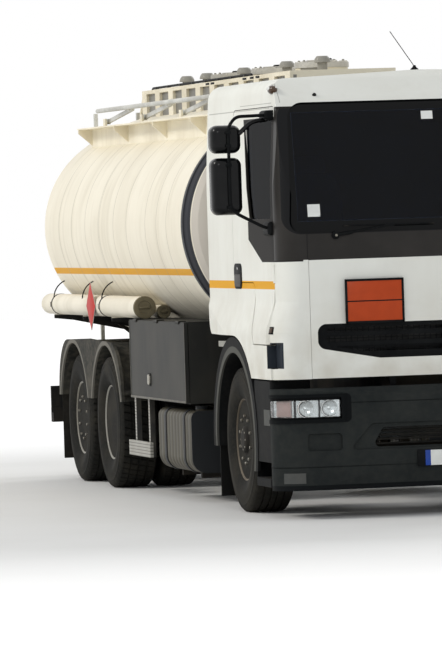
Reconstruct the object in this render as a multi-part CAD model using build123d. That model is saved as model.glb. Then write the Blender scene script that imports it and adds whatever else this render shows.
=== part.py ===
from build123d import *
import math
import os

# A three-axle rigid tanker truck, in millimetres. It drives towards -Y, its right side is -X, +Z is up.
# Lengths along the truck are stations measured back from the front axle, heights are measured from
# the ground, and the finished pieces are moved so that the origin lies under the middle of the truck.

# Overall places
FRONT = -1450.0  # front face of the bumper
REAR = 7400.0  # rear face of the underrun bar
MIDDLE = (FRONT + REAR) / 2

# Wheels and axles
TYRE_RADIUS = 515.0
TYRE_WIDTH = 312.0
RIM_RADIUS = 285.0  # bead seat
RIM_LIP = 299.0
HUB_RADIUS = 105.0
BEAD_INSET = 46.0  # the beads stand this far inside the widest part of the tyre
AXLE_Z = TYRE_RADIUS  # every tyre stands on the ground
DRIVE_Y = 4590.0
TAG_Y = DRIVE_Y + 1350.0
FRONT_TYRE_X = 1024.0
DRIVE_OUTER_X = 1087.0
TWIN_SPACING = 349.0
TAG_TYRE_X = 1064.0
SPINDLE_RADIUS = 45.0
RUNNING_FIT = 0.05  # radial clearance of a shaft in its bore
SIDES = ((-1, "right"), (1, "left"))

# Steering
KINGPIN_X = 870.0
KINGPIN_RADIUS = 24.0
BEAM_END_RADIUS = 42.0  # the axle beam's end about the kingpin
STEER_ARM = 190.0
STEER_ARM_Z = 420.0  # underside of the steering arms
TIE_ROD_Z = 405.0
TIE_ROD_RADIUS = 17.0

# Chassis frame
RAIL_X = 430.0  # outer face of the web
RAIL_TOP = 1010.0
RAIL_HEIGHT = 270.0
RAIL_FLANGE = 80.0
RAIL_WALL = 8.0
RAIL_FRONT = -1000.0
RAIL_REAR = 7150.0
RAIL_BOTTOM = RAIL_TOP - RAIL_HEIGHT
CROSSMEMBER_Y = (-900.0, 1450.0, 2700.0, 3700.0, 5265.0, 6700.0, 7120.0)

# Engine
ENGINE_HALF_WIDTH = 340.0
ENGINE_FRONT = -750.0
ENGINE_REAR = 480.0
ENGINE_BOTTOM = 520.0
ENGINE_TOP = 1330.0
GEARBOX_REAR = 1350.0
SHAFT_Z = 620.0

# Cab
CAB_HALF_WIDTH = 1150.0
CAB_FRONT = -1380.0
CAB_REAR = 1055.0
CAB_WALL = 50.0
CAB_BOTTOM = 965.0
FLOOR_Z = 1200.0
FLOOR_THICKNESS = 40.0
CAB_REST_Z = FLOOR_Z - FLOOR_THICKNESS
SCREEN_BOTTOM = 1965.0
SCREEN_TOP = 2870.0
SCREEN_TOP_Y = -1215.0
SCREEN_HALF_WIDTH = CAB_HALF_WIDTH - 75.0
ROOF_SIDE_Z = 3040.0  # where the side and the roof would meet
ROOF_TOP_Z = 3085.0
BROW_Y = -1010.0  # where the brow over the screen meets the roof
BROW_Z = 3035.0
LEAN_Z = 2300.0  # the sides lean in above this
SIDE_LEAN = 45.0
CORNER_RADIUS = 190.0
WAIST_Z = 1785.0  # top of the front hatch
GAP = 5.0  # shut line between panels that move
GLASS = 8.0
TUNNEL_HALF_WIDTH = 400.0
TUNNEL_TOP = 1430.0
TUNNEL_FRONT = -850.0

SEAT_X = CAB_HALF_WIDTH - 540.0
WHEEL_RING = 225.0  # radius of the steering wheel's rim
WHEEL_Y = -680.0
WHEEL_Z = 1960.0
WHEEL_TILT_DEGREES = 28.0
COLUMN_LENGTH = 835.0
BUNK_FRONT = 360.0
BUNK_TOP = 1700.0

# Cab tilt: pivots ahead of the chassis rails, and a rest under the floor at the rear
TILT_Y = -1295.0
TILT_Z = 760.0
TILT_PIN_RADIUS = 15.0
TILT_ARM = 25.0  # half the depth of the tilting arm
TILT_ARM_REAR = -1130.0
TILT_LUG_WIDTH = 60.0
CAB_REST_Y = 930.0
SEAT_GAP = 0.3  # what rests on something else lies this far above it

# Doors
HINGE_RADIUS = 11.0
HINGE_PIN_RADIUS = 5.0
HINGE_LENGTH = 60.0
HINGE_Z = (1290.0, 1630.0)
HINGE_RELIEF = 5.0  # clearance round a hinge barrel
DOOR_FRONT = -1150.0
DOOR_REAR = 170.0
DOOR_BOTTOM = 1205.0
DOOR_TOP = 2850.0
DOOR_STEP_Z = 1630.0  # the door is cut away over the wheel arch below this
DOOR_STEP_TOP_Y = -500.0
DOOR_STEP_BOTTOM_Y = -690.0
WINDOW_FRONT = -1085.0
WINDOW_BOTTOM = 2075.0
WINDOW_TOP = 2760.0
WINDOW_REAR_BOTTOM = -420.0
WINDOW_REAR_TOP = -200.0

# Mirrors: two heads on one tube, standing off the door
MIRROR_Y = -1000.0
MIRROR_TUBE = 16.0
MIRROR_STAND_OFF = 190.0
MIRROR_WIDTH = 215.0
MIRROR_DEPTH = 110.0  # from the middle of the door plate to the front of a head
# Lower and upper edge of each head
MIRROR_HEADS = ((2540.0, 2725.0), (2115.0, 2500.0))

# Front hatch and its grille
HATCH_HALF_WIDTH = CAB_HALF_WIDTH - 195.0
GRILLE_HALF_WIDTH = HATCH_HALF_WIDTH - 50.0
GRILLE_TOP = 1340.0
GRILLE_BOTTOM = 1095.0
GRILLE_END_BOTTOM = 1175.0
GRILLE_BARS = 3
FRONT_SLOPE = 34.0 / 1150.0  # how the front falls back on each side of its middle

# Wheel arches
ARCH_RADIUS = 620.0  # inside of every mudguard
GUARD_WALL = 20.0
GUARD_LIP = 90.0
FENDER_CLEARANCE = 12.0
BODY_HALF_WIDTH = CAB_HALF_WIDTH + 65.0  # over the flared fenders and the front mudguards
REAR_GUARD_HALF_WIDTH = CAB_HALF_WIDTH + 105.0
FLARE_Z = 1290.0  # the flare is at its full width up to here
FLARE_TOP_Z = 1600.0
FENDER_FADE_Y = 330.0  # behind this the flare falls back to the cab side
FLARE_CORNER_RADIUS = 200.0
FLARE_DOOR_GAP = 35.0  # between the corner panel and the flare on the door, which swings past it
STEP_WELL = (1040.0, 1220.0)  # the foot hold let into the front corner
STEP_WELL_REAR = -1120.0
REAR_ARCH_RADIUS = 605.0
REAR_GUARD_END_Z = 690.0

# Bumper
BUMPER_HALF_WIDTH = CAB_HALF_WIDTH + 70.0
BUMPER_TOP = 900.0
BUMPER_BOTTOM = 200.0
BUMPER_WALL = 45.0
BUMPER_SIDE_REAR = -1180.0
BUMPER_CORNER = 230.0
LOWER_STEP_Z = 240.0  # underside of the lowest step beside the bumper
BUMPER_SWEEP = 75.0  # how far the front falls back towards its ends
BUMPER_BOW = 8000.0  # radius of the front seen from above
LAMP_INNER_X = 770.0
LAMP_BOTTOM = 690.0
LAMP_TOP = 835.0
LAMP_FRAME = 26.0  # width of the raised frame round a lamp
LAMP_FRAME_PROUD = 9.0
GROOVE = 8.0
MOULDING_Z = 792.0
LIP_Z = 355.0

# Tank
TANK_FRONT = 1400.0
TANK_REAR = 7030.0
TANK_HALF_WIDTH = 1250.0
TANK_HALF_HEIGHT = 950.0
TANK_SIDE_RADIUS = 800.0
TANK_Z = 2040.0
# Radius of the top and bottom arcs, for which they meet the side arcs in line
TANK_TOP_RADIUS = (
    (TANK_HALF_WIDTH - TANK_SIDE_RADIUS) ** 2 + TANK_HALF_HEIGHT**2 - TANK_SIDE_RADIUS**2
) / (2 * (TANK_HALF_HEIGHT - TANK_SIDE_RADIUS))
TANK_BAND = 190.0
BAND_PROUD = 10.0
# Each head is a stack of sections: (how far it stands out, share of the full section)
HEAD_SECTIONS = ((0.0, 1.0), (45.0, 0.985), (100.0, 0.93), (165.0, 0.80), (205.0, 0.60), (225.0, 0.30))

# Top of the tank
COAMING_X = 900.0
COAMING_FRONT = 1420.0
COAMING_REAR = 6700.0
COAMING_TOP = 2860.0
COAMING_WALL = 12.0
COAMING_FLANGE = 115.0
GUSSET_DROP = 130.0
GUSSET_Y = (1500.0, 2170.0, 3590.0, 5130.0, 6650.0)
BOX_HALF_WIDTH = 400.0
BOX_FRONT = TANK_FRONT + 60.0
BOX_REAR = TANK_REAR - 30.0
BOX_RISE = 170.0  # height over the tank's crown
BOX_TOP = TANK_Z + TANK_HALF_HEIGHT + BOX_RISE
BOX_POSTS = 11
BOX_TAIL = 170.0  # how far the sloped plate runs on behind
LID_Y = (2150.0, 3650.0, 5150.0)
LID_RADIUS = 205.0
LID_THICKNESS = 36.0
NECK_RADIUS = LID_RADIUS - 20.0
NECK_HEIGHT = 30.0
NECK_DEPTH = 150.0
LID_PIN_RADIUS = 8.0
LID_LUG_X = 60.0  # inner face of each hinge lug
LID_LUG_WALL = 20.0
VENT_X = -110.0
VENT_Y = (1650.0, 2830.0, 4350.0, 5750.0, 6550.0)
VENT_RADIUS = 62.0
VENT_HEIGHT = 105.0

# Folding handrail on the right of the walkway
HANDRAIL_X = -950.0
POST_Y = (2650.0, 4150.0, 5650.0)  # hinges at the rear of each folded post
POST_LENGTH = 1000.0
POST_FOLD_DEGREES = 4.5
POST_HALF = 16.0
POST_PIN_RADIUS = 10.0
TIP_PIN_RADIUS = 8.0
POST_LUG_X = -974.0  # inner face of the lug that carries a post
POST_LUG_WALL = 16.0
HANDRAIL_RADIUS = 18.0
HANDRAIL_FRONT = 1480.0
HANDRAIL_REAR = 5900.0
HANDRAIL_HINGE_Z = 2895.0

# Hose tubes beside the tank
TUBE_RADIUS = 84.0
TUBE_X = TANK_HALF_WIDTH - 90.0
TUBE_Z = 1425.0
TUBE_FRONT = 3400.0
TUBE_REAR = 7330.0
TUBE_WALL = 5.0
SMALL_TUBE_RADIUS = 50.0
SMALL_TUBE_X = TUBE_X - 155.0
SMALL_TUBE_Z = 1388.0
CRADLE_PLATE = 24.0

# Locker, fuel tanks and guards
LOCKER_FRONT = 1570.0
LOCKER_REAR = 3650.0
LOCKER_BOTTOM = 730.0
LOCKER_OUTER_X = TUBE_X + 75.0  # its face stands just outside the hose tube above it
LOCKER_DEPTH = 375.0
LOCKER_INNER_X = LOCKER_OUTER_X - LOCKER_DEPTH
LOCKER_CLEARANCE = 15.0
LOCKER_TOP = (
    TANK_Z - TANK_HALF_HEIGHT + TANK_TOP_RADIUS
    - math.sqrt(TANK_TOP_RADIUS**2 - LOCKER_INNER_X**2) - LOCKER_CLEARANCE
)
LOCKER_WALL = 30.0
LOCKER_HINGE_Y = (1800.0, 2600.0, 3400.0)
FUEL_FRONT = 1520.0
FUEL_REAR = 2720.0
FUEL_TOP = 680.0
FUEL_BOTTOM = 220.0
FUEL_OUTER_X = 1215.0
FUEL_INNER_X = 580.0
SIDE_GUARD_X = 1215.0


def outline(*corners):
    """A closed flat face from corners (u, v) or (u, v, radius), with an arc where a radius is given."""
    count = len(corners)
    ends = []
    arcs = []
    for index, corner in enumerate(corners):
        here = Vector(corner[0], corner[1])
        radius = corner[2] if len(corner) > 2 else 0
        if not radius:
            ends.append((here, here))
            continue
        before = corners[index - 1]
        after = corners[(index + 1) % count]
        back = (Vector(before[0], before[1]) - here).normalized()
        ahead = (Vector(after[0], after[1]) - here).normalized()
        half = math.acos(max(-1.0, min(1.0, back.dot(ahead)))) / 2
        reach = radius / math.tan(half)
        centre = here + (back + ahead).normalized() * (radius / math.sin(half))
        middle = centre + (here - centre).normalized() * radius
        ends.append((here + back * reach, here + ahead * reach))
        arcs.append(ThreePointArc(here + back * reach, middle, here + ahead * reach))
    edges = list(arcs)
    for index in range(count):
        start = ends[index][1]
        finish = ends[(index + 1) % count][0]
        if (finish - start).length > 0.001:
            edges.append(Line(start, finish))
    return make_face(edges)


def prism_yz(face, x0, x1):
    """A face drawn in (y, z), stretched from x0 to x1."""
    plane = Plane(origin=(min(x0, x1), 0, 0), x_dir=(0, 1, 0), z_dir=(1, 0, 0))
    return extrude(plane * face, abs(x1 - x0))


def prism_xz(face, y0, y1):
    """A face drawn in (x, z), stretched from y0 to y1."""
    plane = Plane(origin=(0, max(y0, y1), 0), x_dir=(1, 0, 0), z_dir=(0, -1, 0))
    return extrude(plane * face, abs(y1 - y0))


def prism_xy(face, z0, z1):
    """A face drawn in (x, y), stretched from z0 to z1."""
    return extrude(Plane(origin=(0, 0, min(z0, z1))) * face, abs(z1 - z0))


def block(x0, x1, y0, y1, z0, z1):
    """A box between two corners."""
    place = Pos((x0 + x1) / 2, (y0 + y1) / 2, (z0 + z1) / 2)
    return place * Box(abs(x1 - x0), abs(y1 - y0), abs(z1 - z0))


def rod_x(x0, x1, y, z, radius):
    """A round bar along X."""
    return Pos((x0 + x1) / 2, y, z) * Rot(0, 90, 0) * Cylinder(radius, abs(x1 - x0))


def rod_y(x, y0, y1, z, radius):
    """A round bar along Y."""
    return Pos(x, (y0 + y1) / 2, z) * Rot(90, 0, 0) * Cylinder(radius, abs(y1 - y0))


def rod_z(x, y, z0, z1, radius):
    """A round bar along Z."""
    return Pos(x, y, (z0 + z1) / 2) * Cylinder(radius, abs(z1 - z0))


def turned_x(profile, x, y, z, side=1):
    """A profile of (x, radius) corners turned about an axle along X; side -1 turns it to the right."""
    face = make_face(Polyline(*[(side * u, r) for u, r in profile], close=True))
    return Pos(x, y, z) * revolve(Plane.XZ * face, Axis.X)


def mirrored(shape):
    """The same shape on the other side of the truck."""
    return mirror(shape, about=Plane.YZ)


def pair(shape):
    """A piece and its mirror image, as one node of two solids."""
    return shape + mirrored(shape)


def tyre(x, y, side=1):
    """A tyre whose middle is at x: sidewalls, shoulders and a slightly crowned tread."""
    half = TYRE_WIDTH / 2
    bead = RIM_RADIUS + 0.3
    profile = (
        (-half + BEAD_INSET, bead),
        (-half, bead + 115),
        (-half + 18, TYRE_RADIUS - 22),
        (-half + 40, TYRE_RADIUS - 3),
        (0, TYRE_RADIUS),
        (half - 40, TYRE_RADIUS - 3),
        (half - 18, TYRE_RADIUS - 22),
        (half, bead + 115),
        (half - BEAD_INSET, bead),
    )
    return turned_x(profile, x, y, AXLE_Z, side)


def rim(x, y, side, disc_x, hub_in, hub_out):
    """A steel rim and its hub. disc_x, hub_in and hub_out are measured outwards from the rim's middle."""
    half = TYRE_WIDTH / 2 - BEAD_INSET + 4
    bore = SPINDLE_RADIUS + RUNNING_FIT
    barrel = (
        (-half - 8, RIM_LIP),
        (-half + 2, RIM_RADIUS),
        (half - 2, RIM_RADIUS),
        (half + 8, RIM_LIP),
        (half + 8, RIM_LIP - 16),
        (disc_x + 8, RIM_RADIUS - 26),
        (-half - 8, RIM_LIP - 16),
    )
    disc = (
        (disc_x - 8, RIM_RADIUS - 20),
        (disc_x + 8, RIM_RADIUS - 20),
        (disc_x + 8, HUB_RADIUS),
        (hub_out - 35, HUB_RADIUS),
        (hub_out, HUB_RADIUS - 30),
        (hub_out, bore),
        (hub_in, bore),
        (hub_in, HUB_RADIUS + 25),
        (disc_x - 8, HUB_RADIUS + 25),
    )
    return turned_x(barrel, x, y, AXLE_Z, side) + turned_x(disc, x, y, AXLE_Z, side)


def chassis_frame():
    """Two channel rails, their crossmembers, and the brackets that carry what hangs beside them."""
    outer = RAIL_X
    channel = outline(
        (outer, RAIL_BOTTOM),
        (outer, RAIL_TOP),
        (outer - RAIL_FLANGE, RAIL_TOP),
        (outer - RAIL_FLANGE, RAIL_TOP - RAIL_WALL),
        (outer - RAIL_WALL, RAIL_TOP - RAIL_WALL),
        (outer - RAIL_WALL, RAIL_BOTTOM + RAIL_WALL),
        (outer - RAIL_FLANGE, RAIL_BOTTOM + RAIL_WALL),
        (outer - RAIL_FLANGE, RAIL_BOTTOM),
    )
    frame = pair(prism_xz(channel, RAIL_FRONT, RAIL_REAR))
    inner = outer - RAIL_WALL
    for y in CROSSMEMBER_Y:
        bottom = RAIL_BOTTOM + RAIL_WALL
        top = RAIL_TOP - RAIL_WALL
        frame += block(-inner, inner, y - 5, y + 5, bottom, top)
        frame += block(-inner, inner, y - 35, y + 35, top - 10, top)
        frame += block(-inner, inner, y - 35, y + 35, bottom, bottom + 10)
    # L brackets under the fuel tanks, and hangers for the locker and the side guards
    for side, _ in SIDES:
        for y in (FUEL_FRONT + 260, FUEL_REAR - 260):
            arm = outline(
                (side * outer, RAIL_TOP - 60),
                (side * (outer + 60), RAIL_TOP - 60),
                (side * (outer + 60), FUEL_BOTTOM - 6),
                (side * (FUEL_OUTER_X - 120), FUEL_BOTTOM - 6),
                (side * (FUEL_OUTER_X - 120), FUEL_BOTTOM - 46),
                (side * outer, FUEL_BOTTOM - 46),
            )
            frame += prism_xz(arm, y - 20, y + 20)
        frame += block(side * outer, side * LOCKER_INNER_X, LOCKER_FRONT + 60, LOCKER_FRONT + 120, 780, 960)
        frame += block(side * outer, side * LOCKER_INNER_X, LOCKER_REAR - 120, LOCKER_REAR - 60, 780, 960)
        frame += block(side * outer, side * (outer - 50), CAB_REST_Y - 40, CAB_REST_Y + 40, RAIL_TOP - 5, CAB_REST_Z - SEAT_GAP)
        lug = outline(
            (RAIL_FRONT + 5, RAIL_BOTTOM),
            (RAIL_FRONT + 5, RAIL_TOP),
            (RAIL_FRONT - 60, RAIL_TOP),
            (TILT_Y - 40, TILT_Z + 50, 40),
            (TILT_Y - 40, TILT_Z - 45, 40),
            (TILT_Y + 60, TILT_Z - 45, 40),
        )
        frame += prism_yz(lug, side * outer, side * (outer - TILT_LUG_WIDTH))
    frame -= rod_x(-outer - 1, outer + 1, TILT_Y, TILT_Z, TILT_PIN_RADIUS + RUNNING_FIT)
    return frame


def engine():
    """The engine and gearbox as one plain mass, with its four mounting feet against the rails."""
    mass = block(-ENGINE_HALF_WIDTH, ENGINE_HALF_WIDTH, ENGINE_FRONT, ENGINE_REAR, ENGINE_BOTTOM, ENGINE_TOP)
    mass += block(-230, 230, ENGINE_REAR, GEARBOX_REAR, 500, 900)
    inner = RAIL_X - RAIL_WALL
    for side, _ in SIDES:
        for y in (ENGINE_FRONT + 120, ENGINE_REAR - 120):
            mass += block(side * ENGINE_HALF_WIDTH, side * inner, y - 60, y + 60, 820, 900)
    return mass


def front_axle():
    """A forged beam with a dropped middle, two leaf springs and the hangers that carry them."""
    beam = prism_xz(
        outline(
            (-KINGPIN_X - 45, AXLE_Z - 50),
            (-KINGPIN_X + 75, AXLE_Z - 50, 40),
            (-620, 345, 40),
            (620, 345, 40),
            (KINGPIN_X - 75, AXLE_Z - 50, 40),
            (KINGPIN_X + 45, AXLE_Z - 50),
            (KINGPIN_X + 45, AXLE_Z + 50),
            (KINGPIN_X - 75, AXLE_Z + 50, 40),
            (600, 455, 40),
            (-600, 455, 40),
            (-KINGPIN_X + 75, AXLE_Z + 50, 40),
            (-KINGPIN_X - 45, AXLE_Z + 50),
        ),
        -42,
        42,
    )
    for side, _ in SIDES:
        # The beam's end is round about the kingpin, so that the fork swings past it
        end = block(side * KINGPIN_X, side * (KINGPIN_X + 60), -60, 60, 400, 640)
        beam -= end - rod_z(side * KINGPIN_X, 0, 390, 650, BEAM_END_RADIUS)
        beam -= rod_z(side * KINGPIN_X, 0, 300, 700, KINGPIN_RADIUS + RUNNING_FIT)
        x0 = side * (RAIL_X - 42)
        x1 = side * (RAIL_X + 42)
        beam += block(x0, x1, -90, 90, 450, 515)
        leaf = outline(
            (-820, 640, 20),
            (-400, 545, 500),
            (0, 490, 900),
            (400, 545, 500),
            (820, 640, 20),
            (820, 675),
            (400, 590, 500),
            (0, 535, 900),
            (-400, 590, 500),
            (-820, 675),
        )
        beam += prism_yz(leaf, x0, x1)
        for y in (-790, 790):
            beam += block(x0, x1, y - 45, y + 45, 640, RAIL_BOTTOM)
    return beam


def knuckle(side):
    """A stub axle on its kingpin, with the arm that the track rod moves."""
    pin = rod_z(side * KINGPIN_X, 0, 395, 635, KINGPIN_RADIUS)
    fork = block(side * (KINGPIN_X + 55), side * (KINGPIN_X + 85), -55, 55, 400, 630)
    fork += block(side * (KINGPIN_X - 45), side * (KINGPIN_X + 60), -50, 50, AXLE_Z + 55, 630)
    fork += block(side * (KINGPIN_X - 45), side * (KINGPIN_X + 60), -50, 50, 400, AXLE_Z - 55)
    spindle = rod_x(side * (KINGPIN_X + 80), side * 1150, 0, AXLE_Z, SPINDLE_RADIUS)
    arm = block(side * (KINGPIN_X - 25), side * (KINGPIN_X + 25), 45, STEER_ARM + 30, STEER_ARM_Z, 450)
    return pin + fork + spindle + arm


def tie_rod():
    """The track rod between the two steering arms, hung on an upright pin at each end."""
    rod = rod_x(-KINGPIN_X, KINGPIN_X, STEER_ARM, TIE_ROD_Z - 20, TIE_ROD_RADIUS)
    for side, _ in SIDES:
        rod += rod_z(side * KINGPIN_X, STEER_ARM, 350, STEER_ARM_Z - SEAT_GAP, 26)
    return rod


def drive_axle():
    """The driven axle: banjo housing, nose towards the shaft, tubes and the spindles in the hubs."""
    casing = rod_x(-190, 190, DRIVE_Y, AXLE_Z, 225)
    casing += rod_x(-620, 620, DRIVE_Y, AXLE_Z, 74)
    casing += block(-620, 620, DRIVE_Y - 70, DRIVE_Y + 70, AXLE_Z - 75, AXLE_Z + 75)
    casing += rod_y(0, DRIVE_Y - 420, DRIVE_Y - 150, SHAFT_Z - 40, 110)
    casing += rod_x(-DRIVE_OUTER_X - 60, DRIVE_OUTER_X + 60, DRIVE_Y, AXLE_Z, SPINDLE_RADIUS)
    return casing


def tag_axle():
    """The trailing axle: a plain beam with its spindles."""
    beam = block(-700, 700, TAG_Y - 65, TAG_Y + 65, AXLE_Z - 65, AXLE_Z + 65)
    beam += rod_x(-TAG_TYRE_X - 90, TAG_TYRE_X + 90, TAG_Y, AXLE_Z, SPINDLE_RADIUS)
    return beam


def rear_suspension():
    """Trailing arms with a hanger bracket ahead of each axle and an air spring behind it."""
    parts = []
    for axle_y, seat in ((DRIVE_Y, 75.0), (TAG_Y, 65.0)):
        low = AXLE_Z + seat
        arm = outline(
            (axle_y - 560, low, 30),
            (axle_y + 110, low, 30),
            (axle_y + 260, 430, 60),
            (axle_y + 520, 430),
            (axle_y + 520, 480),
            (axle_y + 290, 480, 60),
            (axle_y + 150, low + 60, 30),
            (axle_y - 560, low + 60, 30),
        )
        solid = prism_yz(arm, RAIL_X - 50, RAIL_X + 40)
        solid += block(RAIL_X - 70, RAIL_X, axle_y - 600, axle_y - 480, low - 30, RAIL_BOTTOM)
        solid += rod_z(RAIL_X - 5, axle_y + 400, 480, RAIL_BOTTOM - 15, 125)
        solid += rod_z(RAIL_X - 5, axle_y + 400, RAIL_BOTTOM - 15, RAIL_BOTTOM, 100)
        parts.append(pair(solid))
    return parts[0] + parts[1]


def propshaft():
    """The tube shaft from the gearbox to the driven axle, with a joint yoke at each end."""
    front = GEARBOX_REAR
    back = DRIVE_Y - 420
    shaft = rod_y(0, front, back, SHAFT_Z - 40, 45)
    shaft += rod_y(0, front, front + 30, SHAFT_Z - 40, 85)
    shaft += rod_y(0, back - 30, back, SHAFT_Z - 40, 85)
    return shaft


def cab_block(inset):
    """The cab's form drawn in by an inset: plan, front and side outlines crossed, none in line with another."""
    front = CAB_FRONT + inset
    rear = CAB_REAR - inset
    half = CAB_HALF_WIDTH - inset
    over = 150.0  # how far each outline reaches past what the others cut
    rake = (SCREEN_TOP_Y - CAB_FRONT) / (SCREEN_TOP - SCREEN_BOTTOM)
    side = prism_yz(
        outline(
            (front - over, CAB_BOTTOM),
            (front - over, SCREEN_BOTTOM - over / rake),
            (SCREEN_TOP_Y + inset, SCREEN_TOP, 200),
            (BROW_Y + inset, BROW_Z - inset, 200),
            (BROW_Y + inset + 300, BROW_Z - inset + 130),
            (rear + over, BROW_Z - inset + 130),
            (rear + over, CAB_BOTTOM),
        ),
        -half - over,
        half + over,
    )
    eave = ROOF_SIDE_Z - inset
    lean = SIDE_LEAN / (eave - LEAN_Z)
    across = prism_xz(
        outline(
            (-half - over, CAB_BOTTOM - over),
            (-half - over, LEAN_Z - over / lean),
            (-half + SIDE_LEAN, eave, 110),
            (0, ROOF_TOP_Z - inset, 2500),
            (half - SIDE_LEAN, eave, 110),
            (half + over, LEAN_Z - over / lean),
            (half + over, CAB_BOTTOM - over),
        ),
        front - over,
        rear + over,
    )
    corner = CORNER_RADIUS - inset
    plan = prism_xy(
        outline(
            (-half, front + 30, corner),
            (0, front - 4, 9000),
            (half, front + 30, corner),
            (half, rear, 40),
            (-half, rear, 40),
        ),
        CAB_BOTTOM - 2 * over,
        ROOF_TOP_Z + over,
    )
    return (plan & across) & side


def door_face(shrink):
    """The door's outline in (y, z), drawn in by the shut line where shrink is more than 0."""
    return outline(
        (DOOR_FRONT + shrink, DOOR_BOTTOM + shrink, 30),
        (DOOR_FRONT + shrink, DOOR_TOP - shrink, 60),
        (DOOR_REAR - shrink, DOOR_TOP - shrink, 60),
        (DOOR_REAR - shrink, DOOR_STEP_Z + shrink, 60),
        (DOOR_STEP_TOP_Y - shrink, DOOR_STEP_Z + shrink, 90),
        (DOOR_STEP_BOTTOM_Y - shrink, DOOR_BOTTOM + shrink, 30),
    )


def window_face(shrink):
    """The side window's outline in (y, z)."""
    return outline(
        (WINDOW_FRONT + shrink, WINDOW_BOTTOM + shrink, 40),
        (WINDOW_FRONT + shrink, WINDOW_TOP - shrink, 40),
        (WINDOW_REAR_TOP - shrink, WINDOW_TOP - shrink, 60),
        (WINDOW_REAR_BOTTOM - shrink, WINDOW_BOTTOM + shrink, 60),
    )


def screen_face(shrink):
    """The windscreen's outline in (x, z)."""
    half = SCREEN_HALF_WIDTH - shrink
    return outline(
        (-half, SCREEN_BOTTOM + shrink, 90),
        (-half + 35, SCREEN_TOP - shrink, 110),
        (half - 35, SCREEN_TOP - shrink, 110),
        (half, SCREEN_BOTTOM + shrink, 90),
    )


def grille_face(shrink):
    """The grille opening in (x, z): rounded ends and a lower edge that is deeper inboard."""
    half = GRILLE_HALF_WIDTH - shrink
    return outline(
        (-half, GRILLE_END_BOTTOM + shrink, 60),
        (-half, GRILLE_TOP - shrink, 60),
        (half, GRILLE_TOP - shrink, 60),
        (half, GRILLE_END_BOTTOM + shrink, 60),
        (470, GRILLE_BOTTOM + shrink, 80),
        (-470, GRILLE_BOTTOM + shrink, 80),
    )


def hatch_zone(shrink):
    """The room of the front hatch, as a prism through the front wall."""
    face = outline(
        (-HATCH_HALF_WIDTH + shrink, CAB_BOTTOM + shrink - 1),
        (-HATCH_HALF_WIDTH + shrink, WAIST_Z - shrink),
        (HATCH_HALF_WIDTH - shrink, WAIST_Z - shrink),
        (HATCH_HALF_WIDTH - shrink, CAB_BOTTOM + shrink - 1),
    )
    return prism_xz(face, CAB_FRONT - 60, CAB_FRONT + 150)


def waist_zone():
    """The room of the dark band under the windscreen and round the lower screen corners."""
    band = block(-CAB_HALF_WIDTH, CAB_HALF_WIDTH, CAB_FRONT - 60, DOOR_FRONT, WAIST_Z, SCREEN_TOP - 40)
    return band - prism_xz(screen_face(0), CAB_FRONT - 60, DOOR_FRONT + 200)


def skirt_face():
    """The white side below the waist in (y, z), cut away over the wheel and swept up to the rear."""
    arch = ARCH_RADIUS + GUARD_WALL + GUARD_LIP + FENDER_CLEARANCE
    face = outline(
        (CAB_FRONT - 10, CAB_BOTTOM),
        (CAB_FRONT - 10, 1640),
        (CAB_REAR, 1640),
        (CAB_REAR, 1500, 90),
        (900, AXLE_Z + arch, 80),
        (0, AXLE_Z + arch),
        (0, CAB_BOTTOM),
    )
    return face - Pos(0, AXLE_Z) * Circle(arch)


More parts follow.
